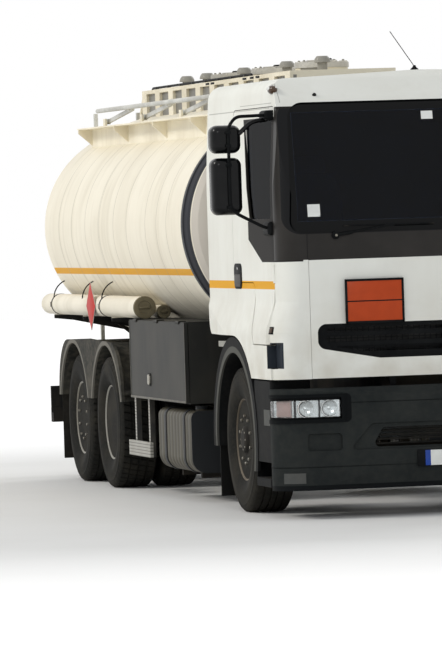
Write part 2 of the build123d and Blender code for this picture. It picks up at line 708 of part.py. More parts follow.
def cab_parts():
    """The hollow cab split where its panels meet: shell, doors, glass, hatch, grille and dark trim."""
    wall = cab_block(0) - cab_block(CAB_WALL)
    glass_layer = cab_block(15) - cab_block(15 + GLASS)
    # The wall ends over the arch at the sides and at the floor everywhere else
    reach = CAB_HALF_WIDTH + 10
    below = block(-reach, reach, -1150, CAB_REAR + 10, CAB_BOTTOM - 10, 1500)
    below -= prism_yz(skirt_face(), -reach, reach)
    wall -= below
    wall -= block(-CAB_HALF_WIDTH + CAB_WALL, CAB_HALF_WIDTH - CAB_WALL, CAB_REAR - 200, CAB_REAR + 10, 900, FLOOR_Z)
    front_zone = hatch_zone(0)
    hatch = (wall & hatch_zone(GAP / 2)) - prism_xz(grille_face(0), CAB_FRONT - 60, CAB_FRONT + 150)
    grille_wall = cab_block(20) - cab_block(CAB_WALL - 5)
    mesh = grille_wall & prism_xz(grille_face(0.3), CAB_FRONT - 60, CAB_FRONT + 150)
    bar_pitch = (GRILLE_TOP - GRILLE_BOTTOM) / (GRILLE_BARS + 0.5)
    for index in range(GRILLE_BARS):
        z = GRILLE_BOTTOM + bar_pitch * (index + 0.7)
        slot = prism_xz(outline(*[(x, z + dz, 14) for x, dz in ((-840, 0), (-840, 38), (-20, 38), (-20, 0))]), -1500, -1200)
        reach_in = block(-2000, 2000, -1500, -1200, z, z + 38)
        mesh -= (slot + mirrored(slot)) & prism_xz(grille_face(28), -1500, -1200) & reach_in
    trim = wall & waist_zone()
    for side, _ in SIDES:
        x = side * 600.0
        behind = CAB_FRONT + 95
        upper = block(x - 40, x + 40, CAB_FRONT, behind, WAIST_Z + GAP, WAIST_Z + 50)
        lower = block(x - 40, x + 40, CAB_FRONT, behind, WAIST_Z - 45, WAIST_Z + GAP)
        trim += (upper & cab_block(CAB_WALL - 5)) + (lower & cab_block(CAB_WALL + SEAT_GAP))
    screen = glass_layer & prism_xz(screen_face(0.3), CAB_FRONT - 60, CAB_FRONT + 260)
    shell = wall - front_zone - waist_zone()
    shell -= prism_xz(screen_face(0), CAB_FRONT - 60, CAB_FRONT + 330)
    doors = {}
    glasses = {}
    for side, name in SIDES:
        x0 = side * (CAB_HALF_WIDTH + 60)
        x1 = side * (CAB_HALF_WIDTH - 130)
        doors[name] = (wall & prism_yz(door_face(GAP / 2), x0, x1)) - prism_yz(window_face(0), x0, x1)
        doors[name] += door_flare(side)
        glasses[name] = glass_layer & prism_yz(window_face(0.3), x0, x1)
        shell -= prism_yz(door_face(-GAP / 2), x0, x1)
        x = side * CAB_HALF_WIDTH
        for z in HINGE_Z:
            middle = z + HINGE_LENGTH
            end = middle + HINGE_LENGTH
            relief = HINGE_RADIUS + HINGE_RELIEF
            low_barrel = rod_z(x, DOOR_FRONT, z, middle - SEAT_GAP, HINGE_RADIUS)
            low_barrel -= rod_z(x, DOOR_FRONT, z - 1, middle, HINGE_PIN_RADIUS + RUNNING_FIT)
            high_barrel = rod_z(x, DOOR_FRONT, middle, end, HINGE_RADIUS)
            high_barrel += rod_z(x, DOOR_FRONT, z + 5, middle + 5, HINGE_PIN_RADIUS)
            shell -= rod_z(x, DOOR_FRONT, z, end + HINGE_RELIEF, relief)
            shell += low_barrel + hinge_leaf(side, z, middle - SEAT_GAP, -1)
            doors[name] -= rod_z(x, DOOR_FRONT, z - HINGE_RELIEF, end + HINGE_RELIEF, relief)
            doors[name] += high_barrel + hinge_leaf(side, middle, end, 1)
    trim -= prism_yz(door_face(-GAP / 2), -CAB_HALF_WIDTH - 60, CAB_HALF_WIDTH + 60)
    return shell, doors, glasses, hatch, mesh, trim, screen


def hinge_leaf(side, z0, z1, way):
    """The leaf between a door hinge's barrel and the panel ahead of it (-1) or behind it (1)."""
    y0 = DOOR_FRONT + way * (HINGE_PIN_RADIUS + 2)
    y1 = DOOR_FRONT + way * (HINGE_RADIUS + 25)
    return block(side * (CAB_HALF_WIDTH - 12), side * (CAB_HALF_WIDTH + 3), y0, y1, z0, z1)


def cab_floor():
    """The floor with the engine tunnel, the wheel arch flares and the step wells under the doors."""
    half = CAB_HALF_WIDTH - CAB_WALL
    tunnel = TUNNEL_HALF_WIDTH
    top = TUNNEL_TOP
    thick = FLOOR_THICKNESS
    floor_line = outline(
        (-half, FLOOR_Z),
        (-tunnel, FLOOR_Z),
        (-tunnel, top, 80),
        (tunnel, top, 80),
        (tunnel, FLOOR_Z),
        (half, FLOOR_Z),
        (half, FLOOR_Z - thick),
        (tunnel - thick, FLOOR_Z - thick),
        (tunnel - thick, top - thick, 50),
        (-tunnel + thick, top - thick, 50),
        (-tunnel + thick, FLOOR_Z - thick),
        (-half, FLOOR_Z - thick),
    )
    floor = prism_xz(floor_line, TUNNEL_FRONT, CAB_REAR - CAB_WALL)
    floor += block(-half, half, CAB_FRONT + CAB_WALL + 35, TUNNEL_FRONT, FLOOR_Z - thick, FLOOR_Z)
    floor += block(-tunnel, tunnel, TUNNEL_FRONT, TUNNEL_FRONT + thick, FLOOR_Z - thick, top - 40)
    # Arms down to the tilt pivots
    lug_x = RAIL_X - TILT_LUG_WIDTH
    for side, _ in SIDES:
        arm = outline(
            (TILT_Y - TILT_ARM, TILT_Z - TILT_ARM, 20),
            (TILT_Y - TILT_ARM, TILT_Z + TILT_ARM, 20),
            (TILT_ARM_REAR - 2 * TILT_ARM, TILT_Z + TILT_ARM, 40),
            (TILT_ARM_REAR - 2 * TILT_ARM, FLOOR_Z - thick + 5),
            (TILT_ARM_REAR, FLOOR_Z - thick + 5),
            (TILT_ARM_REAR, TILT_Z - TILT_ARM, 60),
        )
        floor += prism_yz(arm, side * (lug_x - 50), side * (lug_x - GAP))
        floor += rod_x(side * (lug_x - 20), side * (lug_x - SEAT_GAP), TILT_Y, TILT_Z, TILT_ARM - 1)
        floor += rod_x(side * (lug_x - 20), side * (RAIL_X - 5), TILT_Y, TILT_Z, TILT_PIN_RADIUS)
    return floor


def flare_section():
    """The flare on the right seen from the front: it swells out of the cab side towards the sill."""
    outer = BODY_HALF_WIDTH
    inner = CAB_HALF_WIDTH
    return outline(
        (-inner, FLARE_TOP_Z),
        (-inner - 8, FLARE_TOP_Z - 100, 200),
        (-outer, FLARE_Z, 200),
        (-outer, CAB_BOTTOM - 20),
        (-outer + CAB_WALL - 10, CAB_BOTTOM - 20),
        (-inner + CAB_WALL, CAB_BOTTOM + 180),
        (-inner + CAB_WALL, FLARE_TOP_Z),
    )


def fender():
    """The right-hand flare: it stands out from the cab side over the wheel and under the door."""
    outer = BODY_HALF_WIDTH
    inner = CAB_HALF_WIDTH
    front = DOOR_FRONT - FLARE_DOOR_GAP - 40
    arch = ARCH_RADIUS + GUARD_WALL + GUARD_LIP + FENDER_CLEARANCE
    side = outline(
        (front, CAB_BOTTOM),
        (front, DOOR_BOTTOM - GAP),
        (DOOR_STEP_BOTTOM_Y + GAP, DOOR_BOTTOM - GAP),
        (DOOR_STEP_TOP_Y + 2 * GAP, DOOR_STEP_Z - 40, 60),
        (CAB_REAR - 60, DOOR_STEP_Z - 40, 100),
        (CAB_REAR - 90, AXLE_Z + arch, 120),
        (0, AXLE_Z + arch),
        (0, CAB_BOTTOM),
    )
    flare = prism_xz(flare_section(), front - 10, CAB_REAR)
    flare &= prism_yz(side - Pos(0, AXLE_Z) * Circle(arch), -outer - 10, -inner + 200)
    plan = outline(
        (-outer, front - 20),
        (-400, front - 20),
        (-400, CAB_REAR + 20),
        (-inner - 12, CAB_REAR + 20, 20),
        (-inner - 22, CAB_REAR - 120, 200),
        (-outer, FENDER_FADE_Y, 400),
    )
    flare &= prism_xy(plan, CAB_BOTTOM, FLARE_TOP_Z + 100)
    flare += corner_panel()
    # The foot hold on the corner, and a plain wall behind it
    well = block(-outer - 20, -inner, CAB_FRONT - 30, STEP_WELL_REAR, *STEP_WELL)
    return flare - well


def corner_plan(half, radius):
    """The front right corner from above at a half width, on the line of the cab's front."""
    seam = HATCH_HALF_WIDTH + GAP
    line = CAB_FRONT + 30.5
    return outline(
        (-half, line + (half - CAB_HALF_WIDTH) * FRONT_SLOPE, radius),
        (-seam, line - (CAB_HALF_WIDTH - seam) * FRONT_SLOPE),
        (-seam, DOOR_FRONT + 100),
        (-half, DOOR_FRONT + 100),
    )


def corner_panel():
    """The corner ahead of the door: full width at the sill, faded into the cab above the flare."""
    outer = BODY_HALF_WIDTH
    low = prism_xy(corner_plan(outer, FLARE_CORNER_RADIUS), CAB_BOTTOM, FLARE_Z)
    levels = (
        (FLARE_Z, outer, FLARE_CORNER_RADIUS),
        (FLARE_TOP_Z - 100, CAB_HALF_WIDTH + 8, CORNER_RADIUS + 2),
        (FLARE_TOP_Z + 50, CAB_HALF_WIDTH - 1, CORNER_RADIUS),
    )
    high = loft([Pos(0, 0, z) * corner_plan(half, radius) for z, half, radius in levels], ruled=True)
    rear = DOOR_FRONT - FLARE_DOOR_GAP
    behind = outline((-outer - 10, rear - 30), (-outer + 20, rear), (0, rear), (0, 0), (-outer - 10, 0))
    behind = prism_xy(behind, CAB_BOTTOM - 10, FLARE_TOP_Z + 100)
    return (low + high) - behind - cab_block(CAB_WALL - 5)


def door_flare(side):
    """The part of the flare that a door carries, cut back at its front edge to swing past the corner panel."""
    inner = CAB_HALF_WIDTH
    flare = prism_xz(flare_section(), DOOR_FRONT, DOOR_REAR)
    plan = outline(
        (-inner + CAB_WALL, DOOR_FRONT + GAP),
        (-inner - 15, DOOR_FRONT + GAP),
        (-BODY_HALF_WIDTH - 5, DOOR_FRONT + 60),
        (-BODY_HALF_WIDTH - 5, DOOR_REAR),
        (-inner + CAB_WALL, DOOR_REAR),
    )
    flare &= prism_xy(plan, CAB_BOTTOM, FLARE_TOP_Z + 100)
    flare &= prism_yz(door_face(GAP / 2), -BODY_HALF_WIDTH - 10, -inner + 200)
    return flare if side < 0 else mirrored(flare)


def dashboard():
    """A plain dashboard with a binnacle in front of the driver."""
    half = CAB_HALF_WIDTH - CORNER_RADIUS - 20
    profile = outline(
        (CAB_FRONT + CAB_WALL + 60, FLOOR_Z + 0.3),
        (CAB_FRONT + CAB_WALL + 60, 1900),
        (-1010, 1930, 60),
        (-900, 1800, 60),
        (-1020, 1560, 60),
        (-1060, FLOOR_Z + 0.3),
    )
    dash = prism_yz(profile, -half, half)
    hood = outline((-1080, 1860), (-1080, 1985, 50), (-900, 1950, 40), (-900, 1790))
    return dash + prism_yz(hood, SEAT_X - 230, SEAT_X + 230)


def steering_wheel():
    """The wheel tipped towards the driver on the left, on a column that runs down into the dashboard."""
    ring = Torus(WHEEL_RING, 15) + Cylinder(45, 30)
    for angle in (90, 210, 330):
        ring += Rot(0, 0, angle) * Pos(WHEEL_RING / 2 + 8, 0, 0) * Box(WHEEL_RING - 25, 34, 14)
    ring += Pos(0, 0, -COLUMN_LENGTH / 2) * Cylinder(24, COLUMN_LENGTH)
    return Pos(SEAT_X, WHEEL_Y, WHEEL_Z) * Rot(-WHEEL_TILT_DEGREES, 0, 0) * ring - dashboard()


def seat(x):
    """A seat: pedestal, cushion, back and headrest in one soft form."""
    form = prism_yz(
        outline(
            (-560, 1620, 40),
            (-560, 1760, 60),
            (-120, 1740, 50),
            (20, 2350, 50),
            (80, 2500, 30),
            (170, 2490, 30),
            (40, 1660, 60),
        ),
        x - 250,
        x + 250,
    )
    return form + block(x - 190, x + 190, -480, -60, FLOOR_Z + 0.3, 1640)


def seats():
    """Driver and passenger seats, and the bunk behind them."""
    half = CAB_HALF_WIDTH - CAB_WALL - 60
    rear = CAB_REAR - CAB_WALL - 5
    bunk = block(-half, half, BUNK_FRONT, rear, BUNK_TOP - 140, BUNK_TOP)
    bunk += block(-half, half, BUNK_FRONT + 120, rear, TUNNEL_TOP + SEAT_GAP, BUNK_TOP - 135)
    return seat(SEAT_X) + seat(-SEAT_X) + bunk


def wipers():
    """Two parked wiper arms and blades along the foot of the screen."""
    arms = None
    for x in (-700.0, 150.0):
        y = CAB_FRONT - 6
        blade = block(x, x + 640, y - 12, y + 4, 1990, 2012)
        arm = prism_xz(
            outline((x - 60, 1900), (x + 330, 1995), (x + 330, 2015), (x - 70, 1925)),
            y - 26,
            y - 10,
        )
        foot = rod_y(x - 60, y - 26, CAB_FRONT + 30, 1912, 22)
        piece = (blade + arm + foot) - cab_block(-0.3)
        arms = piece if arms is None else arms + piece
    return arms


def mirror_set(side):
    """Two mirror heads clamped behind a bent tube arm that stands out from the door."""
    tube = MIRROR_TUBE
    inner = CAB_HALF_WIDTH + MIRROR_STAND_OFF
    outer = inner + MIRROR_WIDTH
    y = MIRROR_Y
    y_arm = y - MIRROR_DEPTH - 0.75 * tube
    x_arm = side * (inner + 100)
    inside = side * (CAB_HALF_WIDTH - 60)
    top_z = (WINDOW_TOP + DOOR_TOP) / 2 - 15
    low_z = WINDOW_BOTTOM - 65
    arm = rod_z(x_arm, y_arm, low_z, top_z, tube)
    arm += Pos(x_arm, y_arm, top_z) * Sphere(tube) + Pos(x_arm, y_arm, low_z) * Sphere(tube)
    arm += rod_x(inside, x_arm, y_arm, top_z, tube)
    arm += rod_x(inside, x_arm, y_arm, low_z, tube)
    arm += block(inside, side * (CAB_HALF_WIDTH + 30), y_arm - tube, y + 60, low_z - 50, low_z + 40)
    arm += block(inside, side * (CAB_HALF_WIDTH + 20), y_arm - tube, y + 60, top_z - 24, top_z + 24)
    arm -= cab_block(0)
    front = y - MIRROR_DEPTH
    heads = []
    for z0, z1 in MIRROR_HEADS:
        plan = outline(
            (side * inner, front + 50, 30),
            (side * (inner + 60), front, 50),
            (side * (outer - 55), front, 50),
            (side * outer, front + 50, 30),
            (side * outer, y + 15, 20),
            (side * inner, y + 15, 20),
        )
        face = outline(
            (side * inner, z0, 40),
            (side * inner, z1, 40),
            (side * outer, z1, 40),
            (side * outer, z0, 40),
        )
        heads.append(prism_xy(plan, z0 - 5, z1 + 5) & prism_xz(face, y - 150, y + 50))
    return arm + heads[0] + heads[1]


def bumper_plan(inset):
    """The bumper's outline from above, drawn in by an inset. Its sides run on past the rear edge."""
    half = BUMPER_HALF_WIDTH - inset
    rear = BUMPER_SIDE_REAR + 150
    front = FRONT + inset
    # The arc across the front touches its corner's tangents this far behind the corner
    lift = BUMPER_BOW * (math.hypot(1, BUMPER_SWEEP / half) - 1)
    return outline(
        (-half, rear),
        (-half, front - lift + BUMPER_SWEEP, BUMPER_CORNER - inset),
        (0, front - lift, BUMPER_BOW),
        (half, front - lift + BUMPER_SWEEP, BUMPER_CORNER - inset),
        (half, rear),
    )


def bumper_body(inset):
    """The bumper's form drawn in by an inset: its plan, cut back at the top edge and along the lower lip."""
    front = FRONT + inset
    top = BUMPER_TOP - inset
    bottom = BUMPER_BOTTOM if inset == 0 else BUMPER_BOTTOM - 30
    rear = BUMPER_SIDE_REAR if inset == 0 else BUMPER_SIDE_REAR + 30
    side = outline((front + 45, bottom), (front - 71, 769), (front + 60, top), (rear, top), (rear, bottom))
    plan = prism_xy(bumper_plan(inset), bottom - 40, BUMPER_TOP + 40)
    return plan & prism_yz(side, -BUMPER_HALF_WIDTH - 50, BUMPER_HALF_WIDTH + 50)


def lamp_frame():
    """The raised frame round the right headlamp."""
    frame = prism_xy(bumper_plan(-LAMP_FRAME_PROUD), LAMP_BOTTOM - LAMP_FRAME, LAMP_TOP + LAMP_FRAME)
    frame -= prism_xy(bumper_plan(3), LAMP_BOTTOM - 2 * LAMP_FRAME, LAMP_TOP + 2 * LAMP_FRAME)
    half = BUMPER_HALF_WIDTH + 50
    reach = (FRONT - 80, BUMPER_SIDE_REAR - 5)
    frame &= block(-half, -LAMP_INNER_X + LAMP_FRAME, *reach, LAMP_BOTTOM - LAMP_FRAME, LAMP_TOP + LAMP_FRAME)
    return frame - block(-half - 1, -LAMP_INNER_X, FRONT - 81, BUMPER_SIDE_REAR + 5, LAMP_BOTTOM, LAMP_TOP)


def front_bumper():
    """The hollow bumper moulding with framed lamp wells, a sunk centre intake, fog recesses and grooves."""
    reach = (FRONT - 80, FRONT + 300)
    shell = bumper_body(0) - bumper_body(BUMPER_WALL)
    lamp_zone = block(-1300, -LAMP_INNER_X, *reach, LAMP_BOTTOM, LAMP_TOP)
    fog_zone = prism_xz(outline((-1010, 470, 25), (-1010, 590, 25), (-770, 590, 25), (-770, 470, 25)), *reach)
    for zone, depth in ((lamp_zone, 30.0), (fog_zone, 20.0)):
        well = (bumper_body(0) - bumper_body(depth)) & zone
        shell -= well + mirrored(well)
    # The middle is sunk between slanted ends, with the air intake through its floor
    field = outline((-720, 470, 20), (-560, 650, 40), (560, 650, 40), (720, 470, 20))
    groove_layer = bumper_body(0) - bumper_body(GROOVE)
    shell -= (bumper_body(0) - bumper_body(2 * GROOVE)) & prism_xz(field, *reach)
    intake = outline((-560, 485, 30), (-480, 620, 30), (480, 620, 30), (560, 485, 30))
    shell -= prism_xz(intake, *reach)
    shell -= groove_layer & block(-700, 700, *reach, MOULDING_Z, MOULDING_Z + GROOVE)
    shell -= groove_layer & block(-1300, 1300, *reach, LIP_Z, LIP_Z + GROOVE)
    frame = lamp_frame()
    shell += frame + mirrored(frame)
    shell -= block(-1000, 1000, FRONT + 130, BUMPER_SIDE_REAR + 100, BUMPER_TOP - 60, BUMPER_TOP + 10)
    # Brackets back to the lugs on the chassis rails
    for side, _ in SIDES:
        shell += block(side * (RAIL_X + 45), side * RAIL_X, FRONT + 30, RAIL_FRONT - 20, 760, 840)
    return shell


def lamps():
    """Headlamp glasses let into the bumper, and the tail lamps on the underrun bar."""
    layer = prism_xy(bumper_plan(4), 600, 950) - prism_xy(bumper_plan(29.7), 590, 960)
    zone = block(-1300, -LAMP_INNER_X - 5, FRONT - 80, BUMPER_SIDE_REAR - 15, LAMP_BOTTOM + 5, LAMP_TOP - 5)
    tail = block(-1170, -860, REAR - 60, REAR - 10, 600, 720)
    return pair(layer & zone) + pair(tail)


def step_mudguard():
    """The dark moulding on the right: steps between bumper and wheel, the arch and the mudflap."""
    outer = BODY_HALF_WIDTH
    inner = 860.0
    arch_in = ARCH_RADIUS
    arch_out = ARCH_RADIUS + GUARD_WALL
    lip_out = arch_out + GUARD_LIP
    ring = Circle(arch_out) - Circle(arch_in)
    lip = Circle(lip_out) - Circle(arch_in)
    keep = outline((-800, CAB_BOTTOM - 615), (-800, 900), (800, 900), (800, -60), (400, -60), (400, -200), (-800, -200))
    shell = prism_yz(Pos(0, AXLE_Z) * (ring & keep), -outer + 10, -inner)
    shell += prism_yz(Pos(0, AXLE_Z) * (lip & keep), -outer, -outer + 20)
    # Step box ahead of the wheel, with two foot wells
    box_front = BUMPER_SIDE_REAR + 4
    box_rear = -arch_in - 2
    box_plan = outline(
        (-outer + 5, box_front, 30),
        (-outer + 5, box_rear, 40),
        (-930, box_rear),
        (-930, box_front),
    )
    hollow_plan = outline(
        (-outer + 45, box_front + 40),
        (-outer + 45, box_rear - 40),
        (-970, box_rear - 40),
        (-970, box_front + 40),
    )
    box = prism_xy(box_plan, LOWER_STEP_Z, CAB_BOTTOM - 12)
    box -= prism_xy(hollow_plan, LOWER_STEP_Z + 200, CAB_BOTTOM + 5)
    # The foot opening over the lower step, and the step's tread with its nose
    box -= block(-outer - 5, -1000, box_front + 45, box_rear - 45, LOWER_STEP_Z + 40, LOWER_STEP_Z + 150)
    box += prism_xy(outline(
        (-outer - 2, box_front + 30, 30),
        (-outer - 2, box_rear - 25, 60),
        (-outer + 60, box_rear - 12),
        (-outer + 60, box_front + 30),
    ), LOWER_STEP_Z - 20, LOWER_STEP_Z + 36)
    flap = block(-outer + 30, -inner - 20, arch_out + 20, arch_out + 32, 90, 520)
    flap += block(-outer + 30, -inner - 20, arch_in + 4, arch_out + 32, 470, 520)
    stay = block(-RAIL_X, -930, box_rear - 120, box_rear - 60, 770, 830)
    stay_angle = math.radians(24)
    mid = (arch_in + arch_out) / 2
    stay += rod_x(-RAIL_X, -inner - 40, mid * math.cos(stay_angle), AXLE_Z + mid * math.sin(stay_angle), 16)
    return shell + box + flap + stay


def rear_mudguard():
    """The double arch over the two rear axles on the right, with its valance and stays."""
    outer = REAR_GUARD_HALF_WIDTH
    inner = 590.0
    arch_in = REAR_ARCH_RADIUS
    arch_out = arch_in + GUARD_WALL
    mid = (DRIVE_Y + TAG_Y) / 2
    front_end = DRIVE_Y - arch_out - 30
    rear_end = TAG_Y + arch_out + 30
    solid = outline(
        (front_end, REAR_GUARD_END_Z),
        (DRIVE_Y - arch_out + 60, AXLE_Z + arch_out, 420),
        (mid, AXLE_Z + arch_out + 25),
        (TAG_Y + arch_out - 60, AXLE_Z + arch_out, 420),
        (rear_end, REAR_GUARD_END_Z),
    )
    holes = Pos(DRIVE_Y, AXLE_Z) * Circle(arch_in) + Pos(TAG_Y, AXLE_Z) * Circle(arch_in)
    skin = Pos(DRIVE_Y, AXLE_Z) * Circle(arch_out) + Pos(TAG_Y, AXLE_Z) * Circle(arch_out)
    keep = outline(
        (front_end - 50, REAR_GUARD_END_Z),
        (front_end - 50, 1400),
        (rear_end + 50, 1400),
        (rear_end + 50, REAR_GUARD_END_Z),
    )
    shells = prism_yz((skin & keep) - holes, -outer + 20, -inner)
    face = prism_yz((solid & keep) - holes, -outer, -outer + 24)
    for y, z in ((front_end + 40, 760), (mid, 800), (rear_end - 40, 760)):
        face += rod_x(-RAIL_X, -outer + 10, y, z, 22)
    return shells + face


def oval(share=1.0):
    """The tank's section in (x, z): an oval of four tangent arcs, at a share of its full size."""
    a = TANK_HALF_WIDTH
    b = TANK_HALF_HEIGHT
    side = TANK_SIDE_RADIUS
    top = TANK_TOP_RADIUS
    lean = math.atan2(top - b, a - side)
    join = Vector(top * math.cos(lean), b - top + top * math.sin(lean))
    corners = {
        "right": Vector(a, 0),
        "top": Vector(0, b),
        "left": Vector(-a, 0),
        "bottom": Vector(0, -b),
    }
    joins = [
        join,
        Vector(-join.X, join.Y),
        Vector(-join.X, -join.Y),
        Vector(join.X, -join.Y),
    ]
    edges = [
        ThreePointArc(joins[3] * share, corners["right"] * share, joins[0] * share),
        ThreePointArc(joins[0] * share, corners["top"] * share, joins[1] * share),
        ThreePointArc(joins[1] * share, corners["left"] * share, joins[2] * share),
        ThreePointArc(joins[2] * share, corners["bottom"] * share, joins[3] * share),
    ]
    return Pos(0, TANK_Z) * make_face(edges)


def oval_at(y, share):
    """The tank's section standing at a station."""
    plane = Plane(origin=(0, y, 0), x_dir=(1, 0, 0), z_dir=(0, -1, 0))
    return plane * oval(share)


def tank_form():
    """The barrel, its two dished heads and the collar round the front edge."""
    barrel = prism_xz(oval(), TANK_FRONT, TANK_REAR)
    front = loft([oval_at(TANK_FRONT - out, share) for out, share in HEAD_SECTIONS], ruled=True)
    back = loft([oval_at(TANK_REAR + out, share) for out, share in HEAD_SECTIONS], ruled=True)
    proud = 1 + BAND_PROUD / TANK_HALF_WIDTH
    collar = prism_xz(oval(proud), TANK_FRONT - 4, TANK_FRONT + TANK_BAND)
    return barrel + front + back + collar


def tank_cradle():
    """Long bearers on the chassis rails and the saddles that hold the tank."""
    width = 80.0
    bearer = block(-RAIL_X, -RAIL_X + width, TANK_FRONT + 60, TANK_REAR - 20, RAIL_TOP, RAIL_TOP + 70)
    cradle = pair(bearer)
    for y in (TANK_FRONT + 160, 3000, 4400, 5600, TANK_REAR - 160):
        plate = outline(
            (-RAIL_X - 60, RAIL_TOP + 70),
            (-TANK_HALF_WIDTH + 330, 1420),
            (TANK_HALF_WIDTH - 330, 1420),
            (RAIL_X + 60, RAIL_TOP + 70),
        )
        cradle += prism_xz(plate, y - CRADLE_PLATE / 2, y + CRADLE_PLATE / 2)
        cradle += block(-RAIL_X - 60, RAIL_X + 60, y - 50, y + 50, RAIL_TOP + 58, RAIL_TOP + 70)
    return cradle - tank_form()


def top_coaming():
    """The curbs along the walkway: a wall, a flange turned outwards, gussets and end boards."""
    low = TANK_Z + 560
    inner = COAMING_X - COAMING_WALL
    profile = outline(
        (-COAMING_X, low),
        (-COAMING_X, COAMING_TOP - COAMING_WALL),
        (-COAMING_X - COAMING_FLANGE, COAMING_TOP - COAMING_WALL),
        (-COAMING_X - COAMING_FLANGE, COAMING_TOP),
        (-inner, COAMING_TOP),
        (-inner, low),
    )
    side = prism_xz(profile, COAMING_FRONT, COAMING_REAR)
    for y in GUSSET_Y:
        gusset = outline(
            (-COAMING_X, COAMING_TOP - COAMING_WALL),
            (-COAMING_X - COAMING_FLANGE, COAMING_TOP - COAMING_WALL),
            (-COAMING_X - COAMING_FLANGE, COAMING_TOP - COAMING_WALL - 30),
            (-COAMING_X, COAMING_TOP - COAMING_WALL - GUSSET_DROP),
        )
        side += prism_xz(gusset, y - 8, y + 8)
    for y in POST_Y:
        # The lug that a folding post turns on
        lug_outer = POST_LUG_X - POST_LUG_WALL
        side += block(lug_outer, POST_LUG_X, y - 40, y + 40, COAMING_TOP, HANDRAIL_HINGE_Z + 22)
        side -= rod_x(lug_outer - 1, POST_LUG_X + 1, y, HANDRAIL_HINGE_Z, POST_PIN_RADIUS + RUNNING_FIT)
    coaming = side + mirrored(side)
    for y in (COAMING_FRONT, COAMING_REAR - COAMING_WALL):
        coaming += block(-inner, inner, y, y + COAMING_WALL, low + 100, COAMING_TOP)
    return coaming - tank_form()


def top_box():
    """The raised housing along the middle: posts and recessed panels, with the manhole necks on it."""
    half = BOX_HALF_WIDTH
    base = TANK_Z + TANK_HALF_HEIGHT - 120
    body = block(-half + 25, half - 25, BOX_FRONT + 20, BOX_REAR - 20, base, BOX_TOP - 12)
    body += block(-half, half, BOX_FRONT, BOX_REAR, BOX_TOP - 30, BOX_TOP)
    pitch = (BOX_REAR - BOX_FRONT - 180) / (BOX_POSTS - 1)
    for index in range(BOX_POSTS):
        y = BOX_FRONT + 90 + pitch * index
        body += block(-half, half, y - 90, y + 90, base, BOX_TOP - 20)
    tail = outline(
        (BOX_REAR - 30, BOX_TOP - 12),
        (BOX_REAR, BOX_TOP - 12),
        (BOX_REAR + BOX_TAIL, BOX_TOP - 170),
        (BOX_REAR + BOX_TAIL, BOX_TOP - 190),
        (BOX_REAR + BOX_TAIL - 20, BOX_TOP - 190),
        (BOX_REAR - 30, BOX_TOP - 40),
    )
    body += prism_yz(tail, -half + 10, half - 10)
    for y in VENT_Y:
        # A breather with a domed cap on a narrower neck
        body += rod_z(VENT_X, y, BOX_TOP - 20, BOX_TOP + 0.6 * VENT_HEIGHT, 0.6 * VENT_RADIUS)
        dome = Pos(VENT_X, y, BOX_TOP + 0.55 * VENT_HEIGHT) * Sphere(VENT_RADIUS)
        body += dome & rod_z(VENT_X, y, BOX_TOP + 0.55 * VENT_HEIGHT, BOX_TOP + VENT_HEIGHT, VENT_RADIUS)
    for y in LID_Y:
        body += rod_z(0, y, BOX_TOP - 20, BOX_TOP + NECK_HEIGHT, NECK_RADIUS + 12)
        body -= rod_z(0, y, BOX_TOP + NECK_HEIGHT - NECK_DEPTH, BOX_TOP + NECK_HEIGHT + 1, NECK_RADIUS - 15)
        for side, _ in SIDES:
            x0 = side * LID_LUG_X
            x1 = side * (LID_LUG_X + LID_LUG_WALL)
            body += block(x0, x1, y + LID_RADIUS - 20, y + LID_RADIUS + 45, BOX_TOP - 5, lid_hinge_z() + 20)
        body -= rod_x(-100, 100, y + LID_RADIUS + 20, lid_hinge_z(), LID_PIN_RADIUS + RUNNING_FIT)
    return body - tank_form()


def lid_hinge_z():
    """Height of the manhole hinges: the middle of the lid's thickness."""
    return BOX_TOP + NECK_HEIGHT + 0.3 + LID_THICKNESS / 2


def manhole_lid(y):
    """A round lid with a raised middle and the tongue of its hinge behind."""
    z = BOX_TOP + NECK_HEIGHT + 0.3
    lid = rod_z(0, y, z, z + LID_THICKNESS, LID_RADIUS)
    lid += rod_z(0, y, z + LID_THICKNESS, z + LID_THICKNESS + 22, LID_RADIUS * 0.55)
    for side, _ in SIDES:
        x0 = side * (LID_LUG_X - GAP)
        x1 = side * (LID_LUG_X + LID_LUG_WALL + GAP)
        lid -= block(x0, x1, y + LID_RADIUS - 28, y + LID_RADIUS + 60, z - 1, z + LID_THICKNESS + 1)
    half = LID_LUG_X - GAP
    tongue = block(-half, half, y + LID_RADIUS - 40, y + LID_RADIUS + 20, z + 4, z + LID_THICKNESS - 4)
    tongue += rod_x(-half, half, y + LID_RADIUS + 20, lid_hinge_z(), 14)
    pin = LID_LUG_X + LID_LUG_WALL
    return lid + tongue + rod_x(-pin, pin, y + LID_RADIUS + 20, lid_hinge_z(), LID_PIN_RADIUS)


def post_tip(y):
    """Where a folded post carries the rail, as (y, z)."""
    fold = math.radians(POST_FOLD_DEGREES)
    return y - POST_LENGTH * math.cos(fold), HANDRAIL_HINGE_Z + POST_LENGTH * math.sin(fold)


